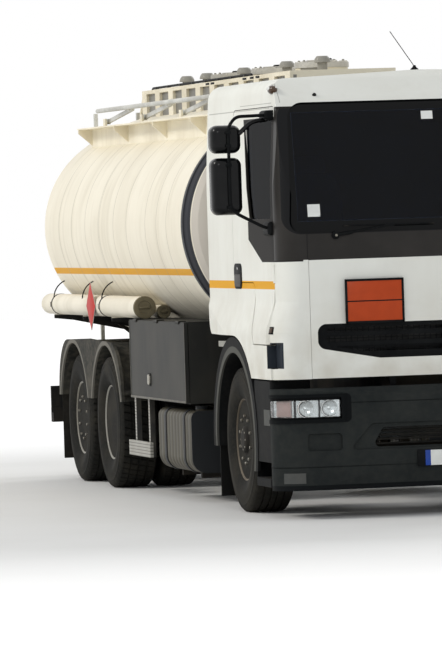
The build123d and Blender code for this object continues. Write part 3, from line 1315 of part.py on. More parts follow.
def handrail_post(y):
    """A post folded down forwards from its hinge, beside its lug."""
    tip_y, tip_z = post_tip(y)
    bar = Pos(HANDRAIL_X, (y + tip_y) / 2, (HANDRAIL_HINGE_Z + tip_z) / 2)
    bar *= Rot(-POST_FOLD_DEGREES, 0, 0) * Box(18, POST_LENGTH, 2 * POST_HALF)
    post = bar + rod_x(POST_LUG_X + SEAT_GAP, HANDRAIL_X + 9, y, HANDRAIL_HINGE_Z, POST_HALF + 6)
    post += rod_x(POST_LUG_X - POST_LUG_WALL, HANDRAIL_X, y, HANDRAIL_HINGE_Z, POST_PIN_RADIUS)
    post += rod_x(HANDRAIL_X - 14 + SEAT_GAP, HANDRAIL_X + 9, tip_y, tip_z, POST_HALF)
    return post + rod_x(HANDRAIL_X - 32, HANDRAIL_X, tip_y, tip_z, TIP_PIN_RADIUS)


def handrail():
    """The rail tube with a tab down to each post."""
    tip_z = post_tip(POST_Y[0])[1]
    x = HANDRAIL_X - 42
    rail = rod_y(x, HANDRAIL_FRONT, HANDRAIL_REAR, tip_z + 12, HANDRAIL_RADIUS)
    for y in POST_Y:
        tip_y = post_tip(y)[0]
        rail += block(x, HANDRAIL_X - 14, tip_y - 30, tip_y + 30, tip_z - 14, tip_z + 14)
        rail -= rod_x(HANDRAIL_X - 34, HANDRAIL_X - 13, tip_y, tip_z, TIP_PIN_RADIUS + RUNNING_FIT)
    return rail


def hose_tubes():
    """Two hose tubes on each side, hung on brackets from the tank's cradle."""
    big = rod_y(-TUBE_X, TUBE_FRONT, TUBE_REAR, TUBE_Z, TUBE_RADIUS)
    big -= rod_y(-TUBE_X, TUBE_FRONT + 300, TUBE_REAR + 1, TUBE_Z, TUBE_RADIUS - TUBE_WALL)
    small = rod_y(-SMALL_TUBE_X, TUBE_FRONT + 20, TUBE_REAR - 300, SMALL_TUBE_Z, SMALL_TUBE_RADIUS)
    tubes = big + small
    for y in (4400, 5600, TANK_REAR - 160):
        small_seat = SMALL_TUBE_Z - SMALL_TUBE_RADIUS + 3
        big_seat = TUBE_Z - TUBE_RADIUS + 3
        plate = outline(
            (-600, 1190),
            (-600, small_seat),
            (-TUBE_X + 100, small_seat),
            (-TUBE_X + 90, big_seat),
            (-TUBE_X - 60, big_seat),
            (-TUBE_X - 60, big_seat - 34),
            (-TUBE_X + 100, big_seat - 54),
        )
        tubes += prism_xz(plate, y + CRADLE_PLATE / 2, y + CRADLE_PLATE / 2 + 12)
    return pair(tubes) - tank_form()


def locker():
    """The open-sided pump locker under the front of the tank, on the right."""
    outer = -LOCKER_OUTER_X + 30
    box = block(outer, -LOCKER_INNER_X, LOCKER_FRONT, LOCKER_REAR, LOCKER_BOTTOM, LOCKER_TOP)
    wall = LOCKER_WALL
    hollow = block(
        outer - 10,
        -LOCKER_INNER_X - wall,
        LOCKER_FRONT + wall,
        LOCKER_REAR - wall,
        LOCKER_BOTTOM + wall,
        LOCKER_TOP - wall,
    )
    box -= hollow
    for y in LOCKER_HINGE_Y:
        box += block(outer + 20, -LOCKER_OUTER_X, y - HINGE_LENGTH, y - SEAT_GAP, LOCKER_TOP, LOCKER_TOP + 6)
        box += rod_y(-LOCKER_OUTER_X, y - HINGE_LENGTH, y - SEAT_GAP, LOCKER_TOP - 4, HINGE_RADIUS)
        box -= rod_y(-LOCKER_OUTER_X, y - 100, y, LOCKER_TOP - 4, HINGE_PIN_RADIUS + RUNNING_FIT)
    return box


def locker_door():
    """The flap that closes the locker, hinged along its top edge."""
    outer = -LOCKER_OUTER_X
    door = block(outer, outer + 25, LOCKER_FRONT + 4, LOCKER_REAR - 4, LOCKER_BOTTOM + 4, LOCKER_TOP - 4)
    for y in LOCKER_HINGE_Y:
        relief = HINGE_RADIUS + HINGE_RELIEF
        door -= rod_y(outer, y - HINGE_LENGTH - HINGE_RELIEF, y, LOCKER_TOP - 4, relief)
        door += rod_y(outer, y, y + HINGE_LENGTH, LOCKER_TOP - 4, HINGE_RADIUS)
        door += rod_y(outer, y - HINGE_LENGTH + 5, y + 5, LOCKER_TOP - 4, HINGE_PIN_RADIUS)
    y = (LOCKER_FRONT + LOCKER_REAR) / 2 + 300
    return door + block(outer - 12, outer, y - 30, y + 30, 850, 920)


def fuel_tank():
    """An aluminium fuel tank on each side, with its filler neck and two straps."""
    section = outline(
        (-FUEL_OUTER_X, FUEL_BOTTOM, 110),
        (-FUEL_OUTER_X, FUEL_TOP, 60),
        (-FUEL_INNER_X, FUEL_TOP, 60),
        (-FUEL_INNER_X, FUEL_BOTTOM, 60),
    )
    strap_section = outline(
        (-FUEL_OUTER_X - 5, FUEL_BOTTOM - 6, 115),
        (-FUEL_OUTER_X - 5, FUEL_TOP + 6, 65),
        (-FUEL_INNER_X + 5, FUEL_TOP + 6, 65),
        (-FUEL_INNER_X + 5, FUEL_BOTTOM - 6, 65),
    )
    tank = prism_xz(section, FUEL_FRONT, FUEL_REAR)
    for y in (FUEL_FRONT + 260, FUEL_REAR - 260):
        tank += prism_xz(strap_section, y - 30, y + 30)
    tank += rod_z(-FUEL_OUTER_X + 110, FUEL_FRONT + 130, FUEL_TOP - 5, FUEL_TOP + 32, 45)
    return pair(tank)


def side_guards():
    """The guard boards between the fuel tanks and the rear wheels, on legs from the frame or the locker."""
    x_board = SIDE_GUARD_X - 25
    x_leg = SIDE_GUARD_X - 65
    guards = None
    # side, height of each board, height of the front leg's top, whether the front leg has its own arm
    for side, boards, front_top, front_arm in ((-1, (285.0,), LOCKER_BOTTOM, False), (1, (285.0, 640.0), 860.0, True)):
        piece = block(side * x_board, side * x_leg, 3180, 3230, 285, front_top)
        piece += block(side * x_board, side * x_leg, 3700, 3750, 285, 860)
        piece += block(side * RAIL_X, side * x_board, 3700, 3750, 800, 860)
        if front_arm:
            piece += block(side * RAIL_X, side * x_board, 3180, 3230, 800, 860)
        for z in boards:
            piece += block(side * SIDE_GUARD_X, side * x_board, 3080, 3900, z, z + 115)
        guards = piece if guards is None else guards + piece
    return guards


def rear_bumper():
    """The underrun bar on its two arms, with the lamp plates and the rear mudflap bar."""
    bar = block(-1180, 1180, REAR - 100, REAR, 440, 560)
    for side, _ in SIDES:
        bar += block(side * 350, side * RAIL_X, RAIL_REAR - 260, RAIL_REAR, 440, RAIL_BOTTOM)
        bar += block(side * 350, side * RAIL_X, RAIL_REAR - 260, REAR - 60, 440, 560)
        bar += block(side * 840, side * 1190, REAR - 90, REAR - 60, 520, 740)
    return bar


def rear_ladder():
    """The ladder up the rear head to the walkway: stiles, rungs, feet on the frame and stays to the head."""
    y = TANK_REAR + 250
    stiles = (-740.0, -380.0)
    ladder = None
    for x in stiles:
        stile = block(x - 15, x + 15, y, y + 40, RAIL_TOP, 2990)
        stile += block(x - 15, x + 15, RAIL_REAR - 60, y + 40, RAIL_TOP, RAIL_TOP + 30)
        for z in (1500.0, 2500.0):
            stile += block(x - 10, x + 10, TANK_REAR - 50, y + 20, z - 10, z + 10)
        ladder = stile if ladder is None else ladder + stile
    for index in range(7):
        ladder += rod_x(stiles[0], stiles[1], y + 20, 1080 + 285 * index, 14)
    ladder += block(stiles[0], stiles[1], RAIL_REAR - 60, RAIL_REAR - 30, RAIL_TOP, RAIL_TOP + 30)
    return ladder - tank_form()


def tow_coupling():
    """The drawbar jaw on the rear crossmember: a bell mouth and the upright pin that holds the eye."""
    y = RAIL_REAR
    jaw = block(-140, 140, CROSSMEMBER_Y[-1] + 5, y + 10, 800, 950)
    jaw += block(-70, 70, y + 10, y + 120, 830, 920)
    mouth = block(-110, 110, y + 110, REAR - 20, 800, 950)
    mouth -= block(-80, 80, y + 150, REAR, 840, 910)
    jaw += mouth
    jaw += rod_z(0, y + 190, 790, 990, 20)
    return jaw


# Every node, built in the axle frame and then moved to the middle of the truck
def build():
    nodes = {}
    nodes["chassis_frame"] = chassis_frame()
    nodes["engine"] = engine()
    nodes["front_axle"] = front_axle()
    nodes["drive_axle"] = drive_axle()
    nodes["tag_axle"] = tag_axle()
    nodes["rear_suspension"] = rear_suspension()
    nodes["propshaft"] = propshaft()
    nodes["tie_rod"] = tie_rod()
    for side, name in SIDES:
        nodes["knuckle_" + name] = knuckle(side)
        x = side * FRONT_TYRE_X
        nodes["front_tyre_" + name] = tyre(x, 0, side)
        nodes["front_rim_" + name] = rim(x, 0, side, 60, -65, 140)
        outer = side * DRIVE_OUTER_X
        inner = side * (DRIVE_OUTER_X - TWIN_SPACING)
        nodes["drive_tyres_" + name] = tyre(outer, DRIVE_Y, side) + tyre(inner, DRIVE_Y, side)
        nodes["drive_rims_" + name] = rim(outer, DRIVE_Y, side, -90, -160, 70) + rim(inner, DRIVE_Y, -side, -90, -150, -50)
        x = side * TAG_TYRE_X
        nodes["tag_tyre_" + name] = tyre(x, TAG_Y, side)
        nodes["tag_rim_" + name] = rim(x, TAG_Y, side, 60, -180, 110)
    shell, doors, glasses, hatch, mesh, trim, screen = cab_parts()
    flare = fender()
    nodes["cab_shell"] = shell + cab_floor() + flare + mirrored(flare)
    nodes["windscreen"] = screen
    nodes["cab_front_trim"] = trim
    nodes["front_hatch"] = hatch
    nodes["grille"] = mesh
    for side, name in SIDES:
        nodes["door_" + name] = doors[name]
        nodes["door_glass_" + name] = glasses[name]
        nodes["mirrors_" + name] = mirror_set(side)
    nodes["dashboard"] = dashboard()
    nodes["steering_wheel"] = steering_wheel()
    nodes["seats"] = seats()
    nodes["wipers"] = wipers()
    nodes["front_bumper"] = front_bumper()
    nodes["lamps"] = lamps()
    nodes["step_mudguards"] = pair(step_mudguard())
    nodes["rear_mudguards"] = pair(rear_mudguard())
    nodes["tank_shell"] = tank_form()
    nodes["tank_cradle"] = tank_cradle()
    nodes["top_coaming"] = top_coaming()
    nodes["top_box"] = top_box()
    for number, y in enumerate(LID_Y, 1):
        nodes["manhole_lid_%d" % number] = manhole_lid(y)
    nodes["handrail"] = handrail()
    for number, y in enumerate(POST_Y, 1):
        nodes["handrail_post_%d" % number] = handrail_post(y)
    nodes["hose_tubes"] = hose_tubes()
    nodes["locker"] = locker()
    nodes["locker_door"] = locker_door()
    nodes["fuel_tank"] = fuel_tank()
    nodes["side_guards"] = side_guards()
    nodes["rear_bumper"] = rear_bumper()
    nodes["rear_ladder"] = rear_ladder()
    nodes["tow_coupling"] = tow_coupling()
    return {name: Pos(0, -MIDDLE, 0) * shape for name, shape in nodes.items()}


os.makedirs("parts", exist_ok=True)
for node, solid in build().items():
    export_step(solid, "parts/%s.step" % node)
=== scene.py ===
"""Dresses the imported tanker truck: materials, small parts, floor, light and camera."""
import math

import bmesh
import bpy
from mathutils import Matrix, Vector
from mathutils.bvhtree import BVHTree


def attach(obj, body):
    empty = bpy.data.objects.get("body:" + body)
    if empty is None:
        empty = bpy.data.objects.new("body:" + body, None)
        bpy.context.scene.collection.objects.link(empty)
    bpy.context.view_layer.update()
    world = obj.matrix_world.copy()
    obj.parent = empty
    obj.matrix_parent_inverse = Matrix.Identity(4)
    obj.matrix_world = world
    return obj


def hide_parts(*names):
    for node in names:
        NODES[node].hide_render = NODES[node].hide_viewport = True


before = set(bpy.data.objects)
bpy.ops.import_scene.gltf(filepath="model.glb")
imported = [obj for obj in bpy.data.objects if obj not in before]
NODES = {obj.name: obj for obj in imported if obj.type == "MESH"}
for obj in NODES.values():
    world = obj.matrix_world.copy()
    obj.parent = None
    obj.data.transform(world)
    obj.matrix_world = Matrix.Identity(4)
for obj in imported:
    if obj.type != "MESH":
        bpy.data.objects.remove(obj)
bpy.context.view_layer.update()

# Pieces are drawn in the axle frame: metres, origin on the ground under the front axle, -Y forwards,
# the truck's right is -X. The row frame's origin lies this far behind that axle.
MIDDLE = 2.975
SIDES = ((-1, "right"), (1, "left"))
UP = Vector((0, 0, 1))

# Rays that find a CAD face start ahead of the truck, over the cab or beside it
AHEAD = -2.2
OVERHEAD = 3.4
BACKWARDS = (0, 1, 0)
DOWN = (0, 0, -1)

# Axles: height, and how far behind the front one each lies
AXLE_Z = 0.515
FRONT_Y = 0.0
DRIVE_Y = 4.59
TAG_Y = 5.94
# How far out the wheels' middles lie, of twins the outer one's, and how far apart twins are
FRONT_TRACK = 1.024
DRIVE_TRACK = 1.087
TAG_TRACK = 1.064
TWIN_SPACING = 0.349

# Only the cab's outer sides lie further out than this
CAB_SIDE = 1.12
# The waist joint under the windscreen's surround
WAIST_Z = 1.962
# Lower and upper edge of the lamp wells in the bumper
LAMP_LOW = 0.698
LAMP_HIGH = 0.827

# Hose tubes: how far out, height, radius and front end, and how far back their straps lie
HOSE_TUBES = ((1.160, 1.425, 0.084, 3.402), (1.005, 1.388, 0.050, 3.422))
TUBE_FRONT = HOSE_TUBES[0][3]
STRAPS = (4.80, 6.87)
# The right face of the locker, and the manhole lids: height of their plates and how far back they lie
LOCKER_FACE = -1.235
LID_Z = 3.2263
LIDS = (2.15, 3.65, 5.15)


def about(middle, half):
    """The two ends of a span, from its middle and half its width."""
    return middle - half, middle + half


def spread(low, high, count):
    """Evenly spaced values from low to high."""
    return [low + (high - low) * k / (count - 1) for k in range(count)]


def show(name, data):
    """Puts an object with this mesh, light or camera into the scene."""
    obj = bpy.data.objects.new(name, data)
    bpy.context.scene.collection.objects.link(obj)
    return obj


def fill(node, **values):
    """Sets a node's inputs; an underscore in a name stands for a space."""
    for name, value in values.items():
        node.inputs[name.replace("_", " ")].default_value = value


# Materials


def rgb(color):
    """A linear colour from three 8-bit sRGB values. One of four values is linear already."""
    if len(color) == 4:
        return color
    out = []
    for v in color:
        c = v / 255
        out.append(c / 12.92 if c <= 0.04045 else ((c + 0.055) / 1.055) ** 2.4)
    return (*out, 1.0)


class Shader:
    """A material whose colour, roughness and bump are built up by nodes, with places in the axle frame.

    gleam is the strength of the reflection that lies over the colour.
    """

    def __init__(self, name, color, rough=0.5, metal=0.0, coat=0.0, gleam=0.5):
        self.mat = bpy.data.materials.new(name)
        self.mat.use_nodes = True
        self.nodes = self.mat.node_tree.nodes
        self.links = self.mat.node_tree.links
        self.bsdf = self.nodes["Principled BSDF"]
        self.set("Metallic", metal)
        self.set("Coat Weight", coat)
        self.set("Coat Roughness", 0.08)
        self.set("Specular IOR Level", gleam)
        place = self.nodes.new("ShaderNodeTexCoord")
        self.coord = place.outputs["Object"]
        self.facing = place.outputs["Normal"]
        split = self.nodes.new("ShaderNodeSeparateXYZ")
        self.links.new(self.coord, split.inputs[0])
        self.x, row_y, self.z = split.outputs
        self.y = self.calc("ADD", row_y, MIDDLE)
        self.side = self.calc("ABSOLUTE", self.x)
        self.color = rgb(color)
        self.rough = rough
        self.normal = None

    def put(self, socket, value):
        if isinstance(value, bpy.types.NodeSocket):
            self.links.new(value, socket)
        else:
            socket.default_value = value

    def set(self, name, value):
        self.put(self.bsdf.inputs[name], value)

    def calc(self, operation, a, b=0.0, c=0.0, clamp=False):
        node = self.nodes.new("ShaderNodeMath")
        node.operation = operation
        node.use_clamp = clamp
        for socket, value in zip(node.inputs, (a, b, c)):
            self.put(socket, value)
        return node.outputs[0]

    def vector(self, operation, a, b=(0, 0, 0)):
        """Vector arithmetic. A dot product or a length comes out as one value."""
        node = self.nodes.new("ShaderNodeVectorMath")
        node.operation = operation
        self.put(node.inputs[0], a)
        self.put(node.inputs[1], b)
        return node.outputs["Value" if operation in ("DOT_PRODUCT", "LENGTH") else "Vector"]

    def above(self, value, limit, soft=0.002):
        """1 where value is over the limit, 0 below it."""
        return self.calc("MULTIPLY_ADD", value, 1 / soft, 0.5 - limit / soft, clamp=True)

    def below(self, value, limit, soft=0.002):
        """1 where value is under the limit, 0 above it."""
        return self.calc("MULTIPLY_ADD", value, -1 / soft, 0.5 + limit / soft, clamp=True)

    def band(self, value, low, high, soft=0.002):
        """1 where value lies between low and high."""
        return self.all_of(self.above(value, low, soft), self.below(value, high, soft))

    def chain(self, operation, values):
        """Joins values one after another by the same operation."""
        out = values[0]
        for value in values[1:]:
            out = self.calc(operation, out, value)
        return out

    def all_of(self, *masks):
        """1 where every mask is 1."""
        return self.chain("MULTIPLY", masks)

    def any_of(self, *masks):
        """1 where at least one mask is 1."""
        return self.chain("MAXIMUM", masks)

    def length(self, a, b):
        """The distance that two sides at right angles span."""
        squares = [self.calc("MULTIPLY", v, v) for v in (a, b)]
        return self.calc("SQRT", self.calc("ADD", *squares))

    def facing_in(self, point):
        """1 on faces that look towards a point, 0 on faces that look away from it."""
        away = self.vector("SUBTRACT", self.coord, (point[0], point[1] - MIDDLE, point[2]))
        return self.below(self.vector("DOT_PRODUCT", away, self.facing), 0.0, 0.01)

    def noise(self, scale, detail=3.0, stretch=None):
        node = self.nodes.new("ShaderNodeTexNoise")
        fill(node, Scale=scale, Detail=detail)
        where = self.vector("MULTIPLY", self.coord, stretch) if stretch else self.coord
        self.links.new(where, node.inputs["Vector"])
        return node.outputs["Fac"]

    def level(self, value, low, high, out_low=0.0, out_high=1.0):
        """Takes a value from one span over to another."""
        node = self.nodes.new("ShaderNodeMapRange")
        self.put(node.inputs["Value"], value)
        fill(node, From_Min=low, From_Max=high, To_Min=out_low, To_Max=out_high)
        return node.outputs[0]

    def ribs(self, value, per_metre, start=0.0):
        """A zigzag wave from 0 to 0.5 and back, counted from a start."""
        return self.calc("PINGPONG", self.calc("MULTIPLY_ADD", value, per_metre, -per_metre * start), 0.5)

    def mix(self, kind, mask, a, b):
        node = self.nodes.new("ShaderNodeMix")
        node.data_type = kind
        for name, value in (("Factor", mask), ("A", a), ("B", b)):
            self.put(node.inputs[name], value)
        return node.outputs["Result"]

    def gloss(self, mask, rough):
        """Changes the roughness where the mask is 1."""
        self.rough = self.mix("FLOAT", mask, self.rough, rough)

    def over(self, mask, color, amount=1.0, rough=None):
        """Lays a colour over the present one where the mask is 1, and may change the roughness there."""
        if amount != 1.0:
            mask = self.calc("MULTIPLY", mask, amount)
        self.color = self.mix("RGBA", mask, self.color, rgb(color))
        if rough is not None:
            self.gloss(mask, rough)

    def vary(self, scale, color, amount, low=0.4, high=0.65, stretch=None):
        """Blotches of another colour from noise."""
        self.over(self.level(self.noise(scale, 4.0, stretch), low, high, 0.0, amount), color)

    def bump(self, height, distance, strength):
        node = self.nodes.new("ShaderNodeBump")
        fill(node, Strength=strength, Distance=distance)
        self.links.new(height, node.inputs["Height"])
        if self.normal is not None:
            self.links.new(self.normal, node.inputs["Normal"])
        self.normal = node.outputs[0]

    def grain(self, scale, distance, strength, stretch=None):
        """A fine unevenness of the surface."""
        self.bump(self.noise(scale, 2.0, stretch), distance, strength)

    def done(self):
        self.set("Base Color", self.color)
        self.set("Roughness", self.rough)
        if self.normal is not None:
            self.set("Normal", self.normal)
        return self.mat


def paint(name, color, dirt, rough, coat, amount=0.25):
    """Vehicle paint: slight orange peel under a thin veil of road film."""
    s = Shader(name, color, rough, coat=coat, gleam=0.05)
    s.vary(1.7, dirt, amount)
    s.vary(9.0, dirt, amount * 0.6, 0.5, 0.75, (1, 1, 0.35))
    s.grain(140.0, 0.0004, 0.15)
    return s


def plastic(name, color, light, rough, grain=420.0, pale=None, amounts=(0.4, 0.3), gleam=0.025, strength=0.5):
    """Moulded plastic: a fine grain, greyed a little by the weather in broad and in small blotches."""
    s = Shader(name, color, rough, gleam=gleam)
    s.vary(3.0, light, amounts[0])
    s.vary(22.0, pale or light, amounts[1])
    s.grain(grain, 0.0004, strength)
    return s


def metal(name, color, dull, rough, scratch=(1, 1, 1)):
    """Bare or plated metal with drawn scratches and dull patches."""
    s = Shader(name, color, rough, 1.0)
    s.vary(2.5, dull, 0.6)
    s.vary(60.0, dull, 0.35, 0.45, 0.7, scratch)
    s.gloss(s.level(s.noise(6.0), 0.35, 0.7), rough + 0.2)
    s.grain(180.0, 0.0003, 0.25, scratch)
    return s.done()


def film(name, color, rough, coat=0.2, dark=(0.02, 0.02, 0.02, 1)):
    """A plate, sticker or lens colour with a faint mottle."""
    s = Shader(name, color, rough, coat=coat, gleam=0.15)
    s.vary(14.0, dark, 0.12)
    s.grain(90.0, 0.0003, 0.15)
    return s.done()


def glass(name, color, ior=1.45):
    """Tinted or clear glass with faint darker blotches."""
    s = Shader(name, color, 0.02)
    s.set("Transmission Weight", 1.0)
    s.set("IOR", ior)
    darker = [0.8 * c for c in s.color[:3]]
    s.vary(3.0, (*darker, 1), 0.5)
    return s


def low_dirt(s, low, high, amount, scale, start, color):
    """Blotchy dirt that fades out between two heights."""
    s.over(s.all_of(s.level(s.z, low, high, amount, 0.0), s.level(s.noise(scale), start, 0.7)), color)


def cab_white():
    """White cab paint, the yellow stripe along the side, and dark lining inside and beneath."""
    s = paint("cab_white", (229, 229, 221), (204, 200, 188), 0.5, 0.04)
    low_dirt(s, 1.0, 1.7, 0.45, 5.0, 0.35, (186, 178, 160))
    outside = s.above(s.side, CAB_SIDE)
    stripe = s.all_of(s.band(s.z, 1.587, 1.643), s.band(s.y, -1.145, 1.045), outside)
    s.over(stripe, (222, 160, 8))
    # Roof joint along the side, the short seam over the door, and the joint of the roof's front corner
    roof_joint = s.all_of(s.band(s.z, 2.838, 2.845), s.band(s.y, -1.0, 1.0))
    door_seam = s.all_of(s.band(s.z, 2.872, 2.877), s.band(s.y, -1.06, -0.05))
    s.over(s.any_of(roof_joint, door_seam), (150, 148, 140), 0.7)
    corner_joint = s.all_of(s.band(s.side, 1.083, 1.089), s.above(s.z, 2.872), s.below(s.y, -0.95))
    s.over(corner_joint, (140, 139, 132), 0.6)
    # Black cladding: frame round the side window, whose rear edge leans, lower front corner of the door
    # over a rising line, and front pillar
    lean = 0.321
    leaning = s.calc("MULTIPLY_ADD", s.z, -lean, s.y)
    window = s.all_of(outside, s.band(s.z, 2.055, 2.778), s.below(leaning, -0.400 - lean * 2.075))
    rise = s.calc("MAXIMUM", s.calc("ADD", s.y, 0.77), 0.0)
    over_line = s.calc("SUBTRACT", s.z, s.calc("MULTIPLY_ADD", rise, 0.372, 1.775))
    corner = s.all_of(outside, s.above(over_line, 0.0), s.below(s.z, 2.06), s.below(s.y, -0.345))
    pillar = s.all_of(s.above(s.side, 0.99), s.below(s.y, -1.152), s.band(s.z, 1.775, 2.845))
    s.over(s.any_of(window, corner, pillar), (35, 33, 31), rough=0.6)
    # Painted shade: the foot hold in the front corner is coloured dark blue-grey inside, where shade falls in
    # the recess
    foot_hold_shade = s.all_of(s.above(s.side, 1.14), s.below(s.y, -1.119), s.band(s.z, 1.0415, 1.2205))
    s.over(foot_hold_shade, (44, 49, 56))
    # Lining of the inside, and the black underside
    inside = s.all_of(s.facing_in((0, -0.16, 1.95)), s.below(s.side, 1.13), s.above(s.z, 1.1999))
    s.over(inside, (92, 92, 90), rough=0.8)
    under = s.all_of(s.below(s.side, 1.1), s.below(s.z, 1.198), s.above(s.y, -1.32))
    s.over(under, (40, 41, 42), rough=0.8)
    return s.done()


def tank_cream():
    """Cream tank paint: dark collar, yellow stripe, weld seams, a little run-off dirt, and a front head
    painted greyer as shade.
    """
    s = paint("tank_cream", (238, 231, 213), (214, 205, 184), 0.5, 0.04, 0.3)
    runs = s.all_of(s.level(s.noise(7.0, 4.0, (0.4, 1.0, 0.08)), 0.52, 0.75), s.band(s.z, 1.15, 2.9))
    s.over(runs, (196, 186, 162), 0.35)
    low_dirt(s, 1.1, 1.6, 0.5, 4.0, 0.3, (176, 166, 146))
    # The collar's front and rear edge; the stripe starts at the collar
    collar = (1.340, 1.455)
    stripe = s.all_of(s.band(s.z, 1.675, 1.725), s.above(s.side, 0.9), s.band(s.y, collar[1], 7.02))
    s.over(stripe, (222, 160, 12))
    places = (2.05, 2.42, 2.84, 3.58, 4.10, 4.68, 4.72, 5.27, 5.85, 6.40)
    welds = s.any_of(*[s.band(s.y, *about(y, 0.006), 0.006) for y in places])
    s.over(welds, (158, 151, 134), 0.6)
    s.bump(welds, 0.003, 0.8)
    # Painted shade: the forward-facing head ahead of the collar is coloured greyer for the shade it lies in
    head = s.below(s.y, 1.335)
    s.over(head, (206, 199, 188))
    s.over(s.band(s.y, *collar), (62, 63, 67))
    return s.done()


def box_cream():
    """The housing on top: cream posts and cap, recessed panels painted grey as shade, and greyer breathers.
    """
    s = paint("box_cream", (236, 228, 206), (190, 178, 150), 0.45, 0.1, 0.4)
    # Painted shade: the recessed side panels are coloured grey
    recess_shade = s.all_of(s.band(s.side, 0.35, 0.3762), s.below(s.z, 3.129))
    s.over(recess_shade, (128, 126, 120))
    breather = s.all_of(s.above(s.z, 3.1635), s.band(s.x, -0.18, -0.04))
    s.over(breather, (150, 147, 138))
    return s.done()


def arch_mask(s, y, low, high, out):
    """1 on an arch's face: between two radii about an axle, and further out than a half width."""
    radius = s.length(s.calc("SUBTRACT", s.y, y), s.calc("SUBTRACT", s.z, AXLE_Z))
    return s.all_of(s.band(radius, low, high, 0.006), s.above(s.side, out))


def step_plastic():
    """Dark steps and front arches with a lighter lip, and the black rubber of the mudflap."""
    s = plastic("step_plastic", (24, 25, 26), (38, 38, 37), 0.55, pale=(48, 46, 42), amounts=(0.4, 0.2))
    s.over(arch_mask(s, FRONT_Y, 0.618, 0.664, 1.2), (92, 92, 87), 0.8)
    flap = s.all_of(s.above(s.y, 0.655), s.below(s.z, 0.525))
    s.over(flap, (27, 27, 26))
    return s.done()


def guard_plastic():
    """Rear arches: dusty dark plastic with pale outer rims."""
    s = plastic("guard_plastic", (48, 49, 47), (86, 83, 75), 0.6, pale=(110, 104, 92), amounts=(0.5, 0.3))
    for y in (DRIVE_Y, TAG_Y):
        s.over(arch_mask(s, y, 0.600, 0.640, 1.240), (126, 123, 115), 0.75)
    return s.done()


def guard_board():
    """Ribbed light boards of the side guards on dark legs."""
    s = Shader("guard_board", (38, 38, 37))
    board = s.above(s.side, 1.189)
    s.over(board, (168, 166, 158))
    ribs = s.ribs(s.z, 42.0)
    # Painted shade: the grooves between the ribs are coloured darker
    s.over(s.all_of(board, s.below(ribs, 0.14, 0.05)), (104, 102, 96))
    s.vary(6.0, (120, 114, 100), 0.3)
    s.bump(s.all_of(board, ribs), 0.004, 0.7)
    return s.done()


def fuel_aluminium():
    """Ribbed aluminium tanks with black straps and a black neck; painted shade darkens the rib grooves and
    turns the front end near-black.
    """
    # The dull olive base colour is partly the tanks' own tone and partly painted shade
    s = Shader("fuel_aluminium", (80, 76, 62), 0.5, 0.5, gleam=0.2)
    s.vary(2.5, (64, 60, 49), 0.6)
    ribs = s.ribs(s.y, 9.0, MIDDLE)
    # Painted shade in the grooves between the ribs
    s.over(s.below(ribs, 0.10, 0.05), (52, 49, 40))
    s.bump(ribs, 0.02, 0.4)
    straps = [s.band(s.y, *about(y, 0.031)) for y in (1.78, 2.46)]
    # Painted shade: the front end is coloured near-black where it faces away from the light; the straps and
    # the neck are black
    dark = s.any_of(s.below(s.y, 1.524), *straps, s.above(s.z, 0.687))
    s.over(dark, (34, 36, 38), rough=0.5)
    s.set("Metallic", s.level(dark, 0.0, 1.0, 0.5, 0.0))
    return s.done()


def tube_cream():
    """Cream hose tubes with darker beige front caps and dark cradle brackets."""
    s = paint("tube_cream", (238, 231, 214), (204, 196, 174), 0.5, 0.04, 0.4)
    s.over(s.below(s.z, 1.3365), (44, 44, 44))
    s.over(s.below(s.y, TUBE_FRONT), (122, 114, 92))
    return s.done()


def rounded_zone(s, out, low, high, radius, soft):
    """1 between two heights, with rounded corners; out is how far a point lies sideways past the core."""
    out = s.calc("MAXIMUM", out, 0.0)
    up = s.any_of(s.calc("SUBTRACT", low + radius, s.z), s.calc("SUBTRACT", s.z, high - radius), 0.0)
    return s.below(s.length(out, up), radius, soft)


def front_trim():
    """Brown-grey waist band and pillars, and the glossy black surround that wraps the windscreen."""
    s = plastic("front_trim", (38, 36, 34), (54, 51, 48), 0.42, amounts=(0.4, 0.0), gleam=0.15, strength=0.3)
    seam = s.all_of(s.band(s.side, 0.957, 0.963), s.below(s.z, WAIST_Z))
    s.over(seam, (14, 14, 14))
    radius = 0.12
    past_core = s.calc("SUBTRACT", s.side, 1.118 - radius)
    surround = rounded_zone(s, past_core, WAIST_Z, 2.880, radius, 0.004)
    s.over(surround, (13, 14, 16), rough=0.16)
    return s.done()


def bumper_plastic():
    """Dark grey bumper, nearly black round the headlamps and in its lower lip."""
    s = plastic(
        "bumper_plastic", (36, 39, 39), (54, 56, 54), 0.5,
        pale=(60, 60, 56), amounts=(0.4, 0.2), gleam=0.03, strength=0.4,
    )
    radius = 0.035
    past_core = s.calc("SUBTRACT", 0.700 + radius, s.side)
    s.over(rounded_zone(s, past_core, 0.664, 0.862, radius, 0.003), (18, 20, 21))
    s.over(s.below(s.z, 0.235), (22, 24, 25))
    return s.done()


def tyre_rubber():
    """Tyre rubber with dust in broad and in small blotches."""
    s = Shader("tyre_rubber", (30, 30, 28), 0.8, gleam=0.1)
    s.vary(4.0, (64, 60, 52), 0.45, 0.42, 0.7)
    s.vary(45.0, (54, 51, 45), 0.4, 0.5, 0.7)
    s.grain(300.0, 0.0006, 0.5)
    return s.done()


def screen_glass():
    """Window glass with the black printed border of a bonded screen."""
    # The strong blue tint is partly the glass's own tint and partly a painted sky reflection
    s = glass("screen_glass", (66, 90, 128), 1.22)
    clear = s.all_of(s.below(s.side, 1.015), s.band(s.z, 2.05, 2.80))
    s.over(s.calc("SUBTRACT", 1.0, clear), (10, 11, 12))
    s.set("Transmission Weight", clear)
    return s.done()


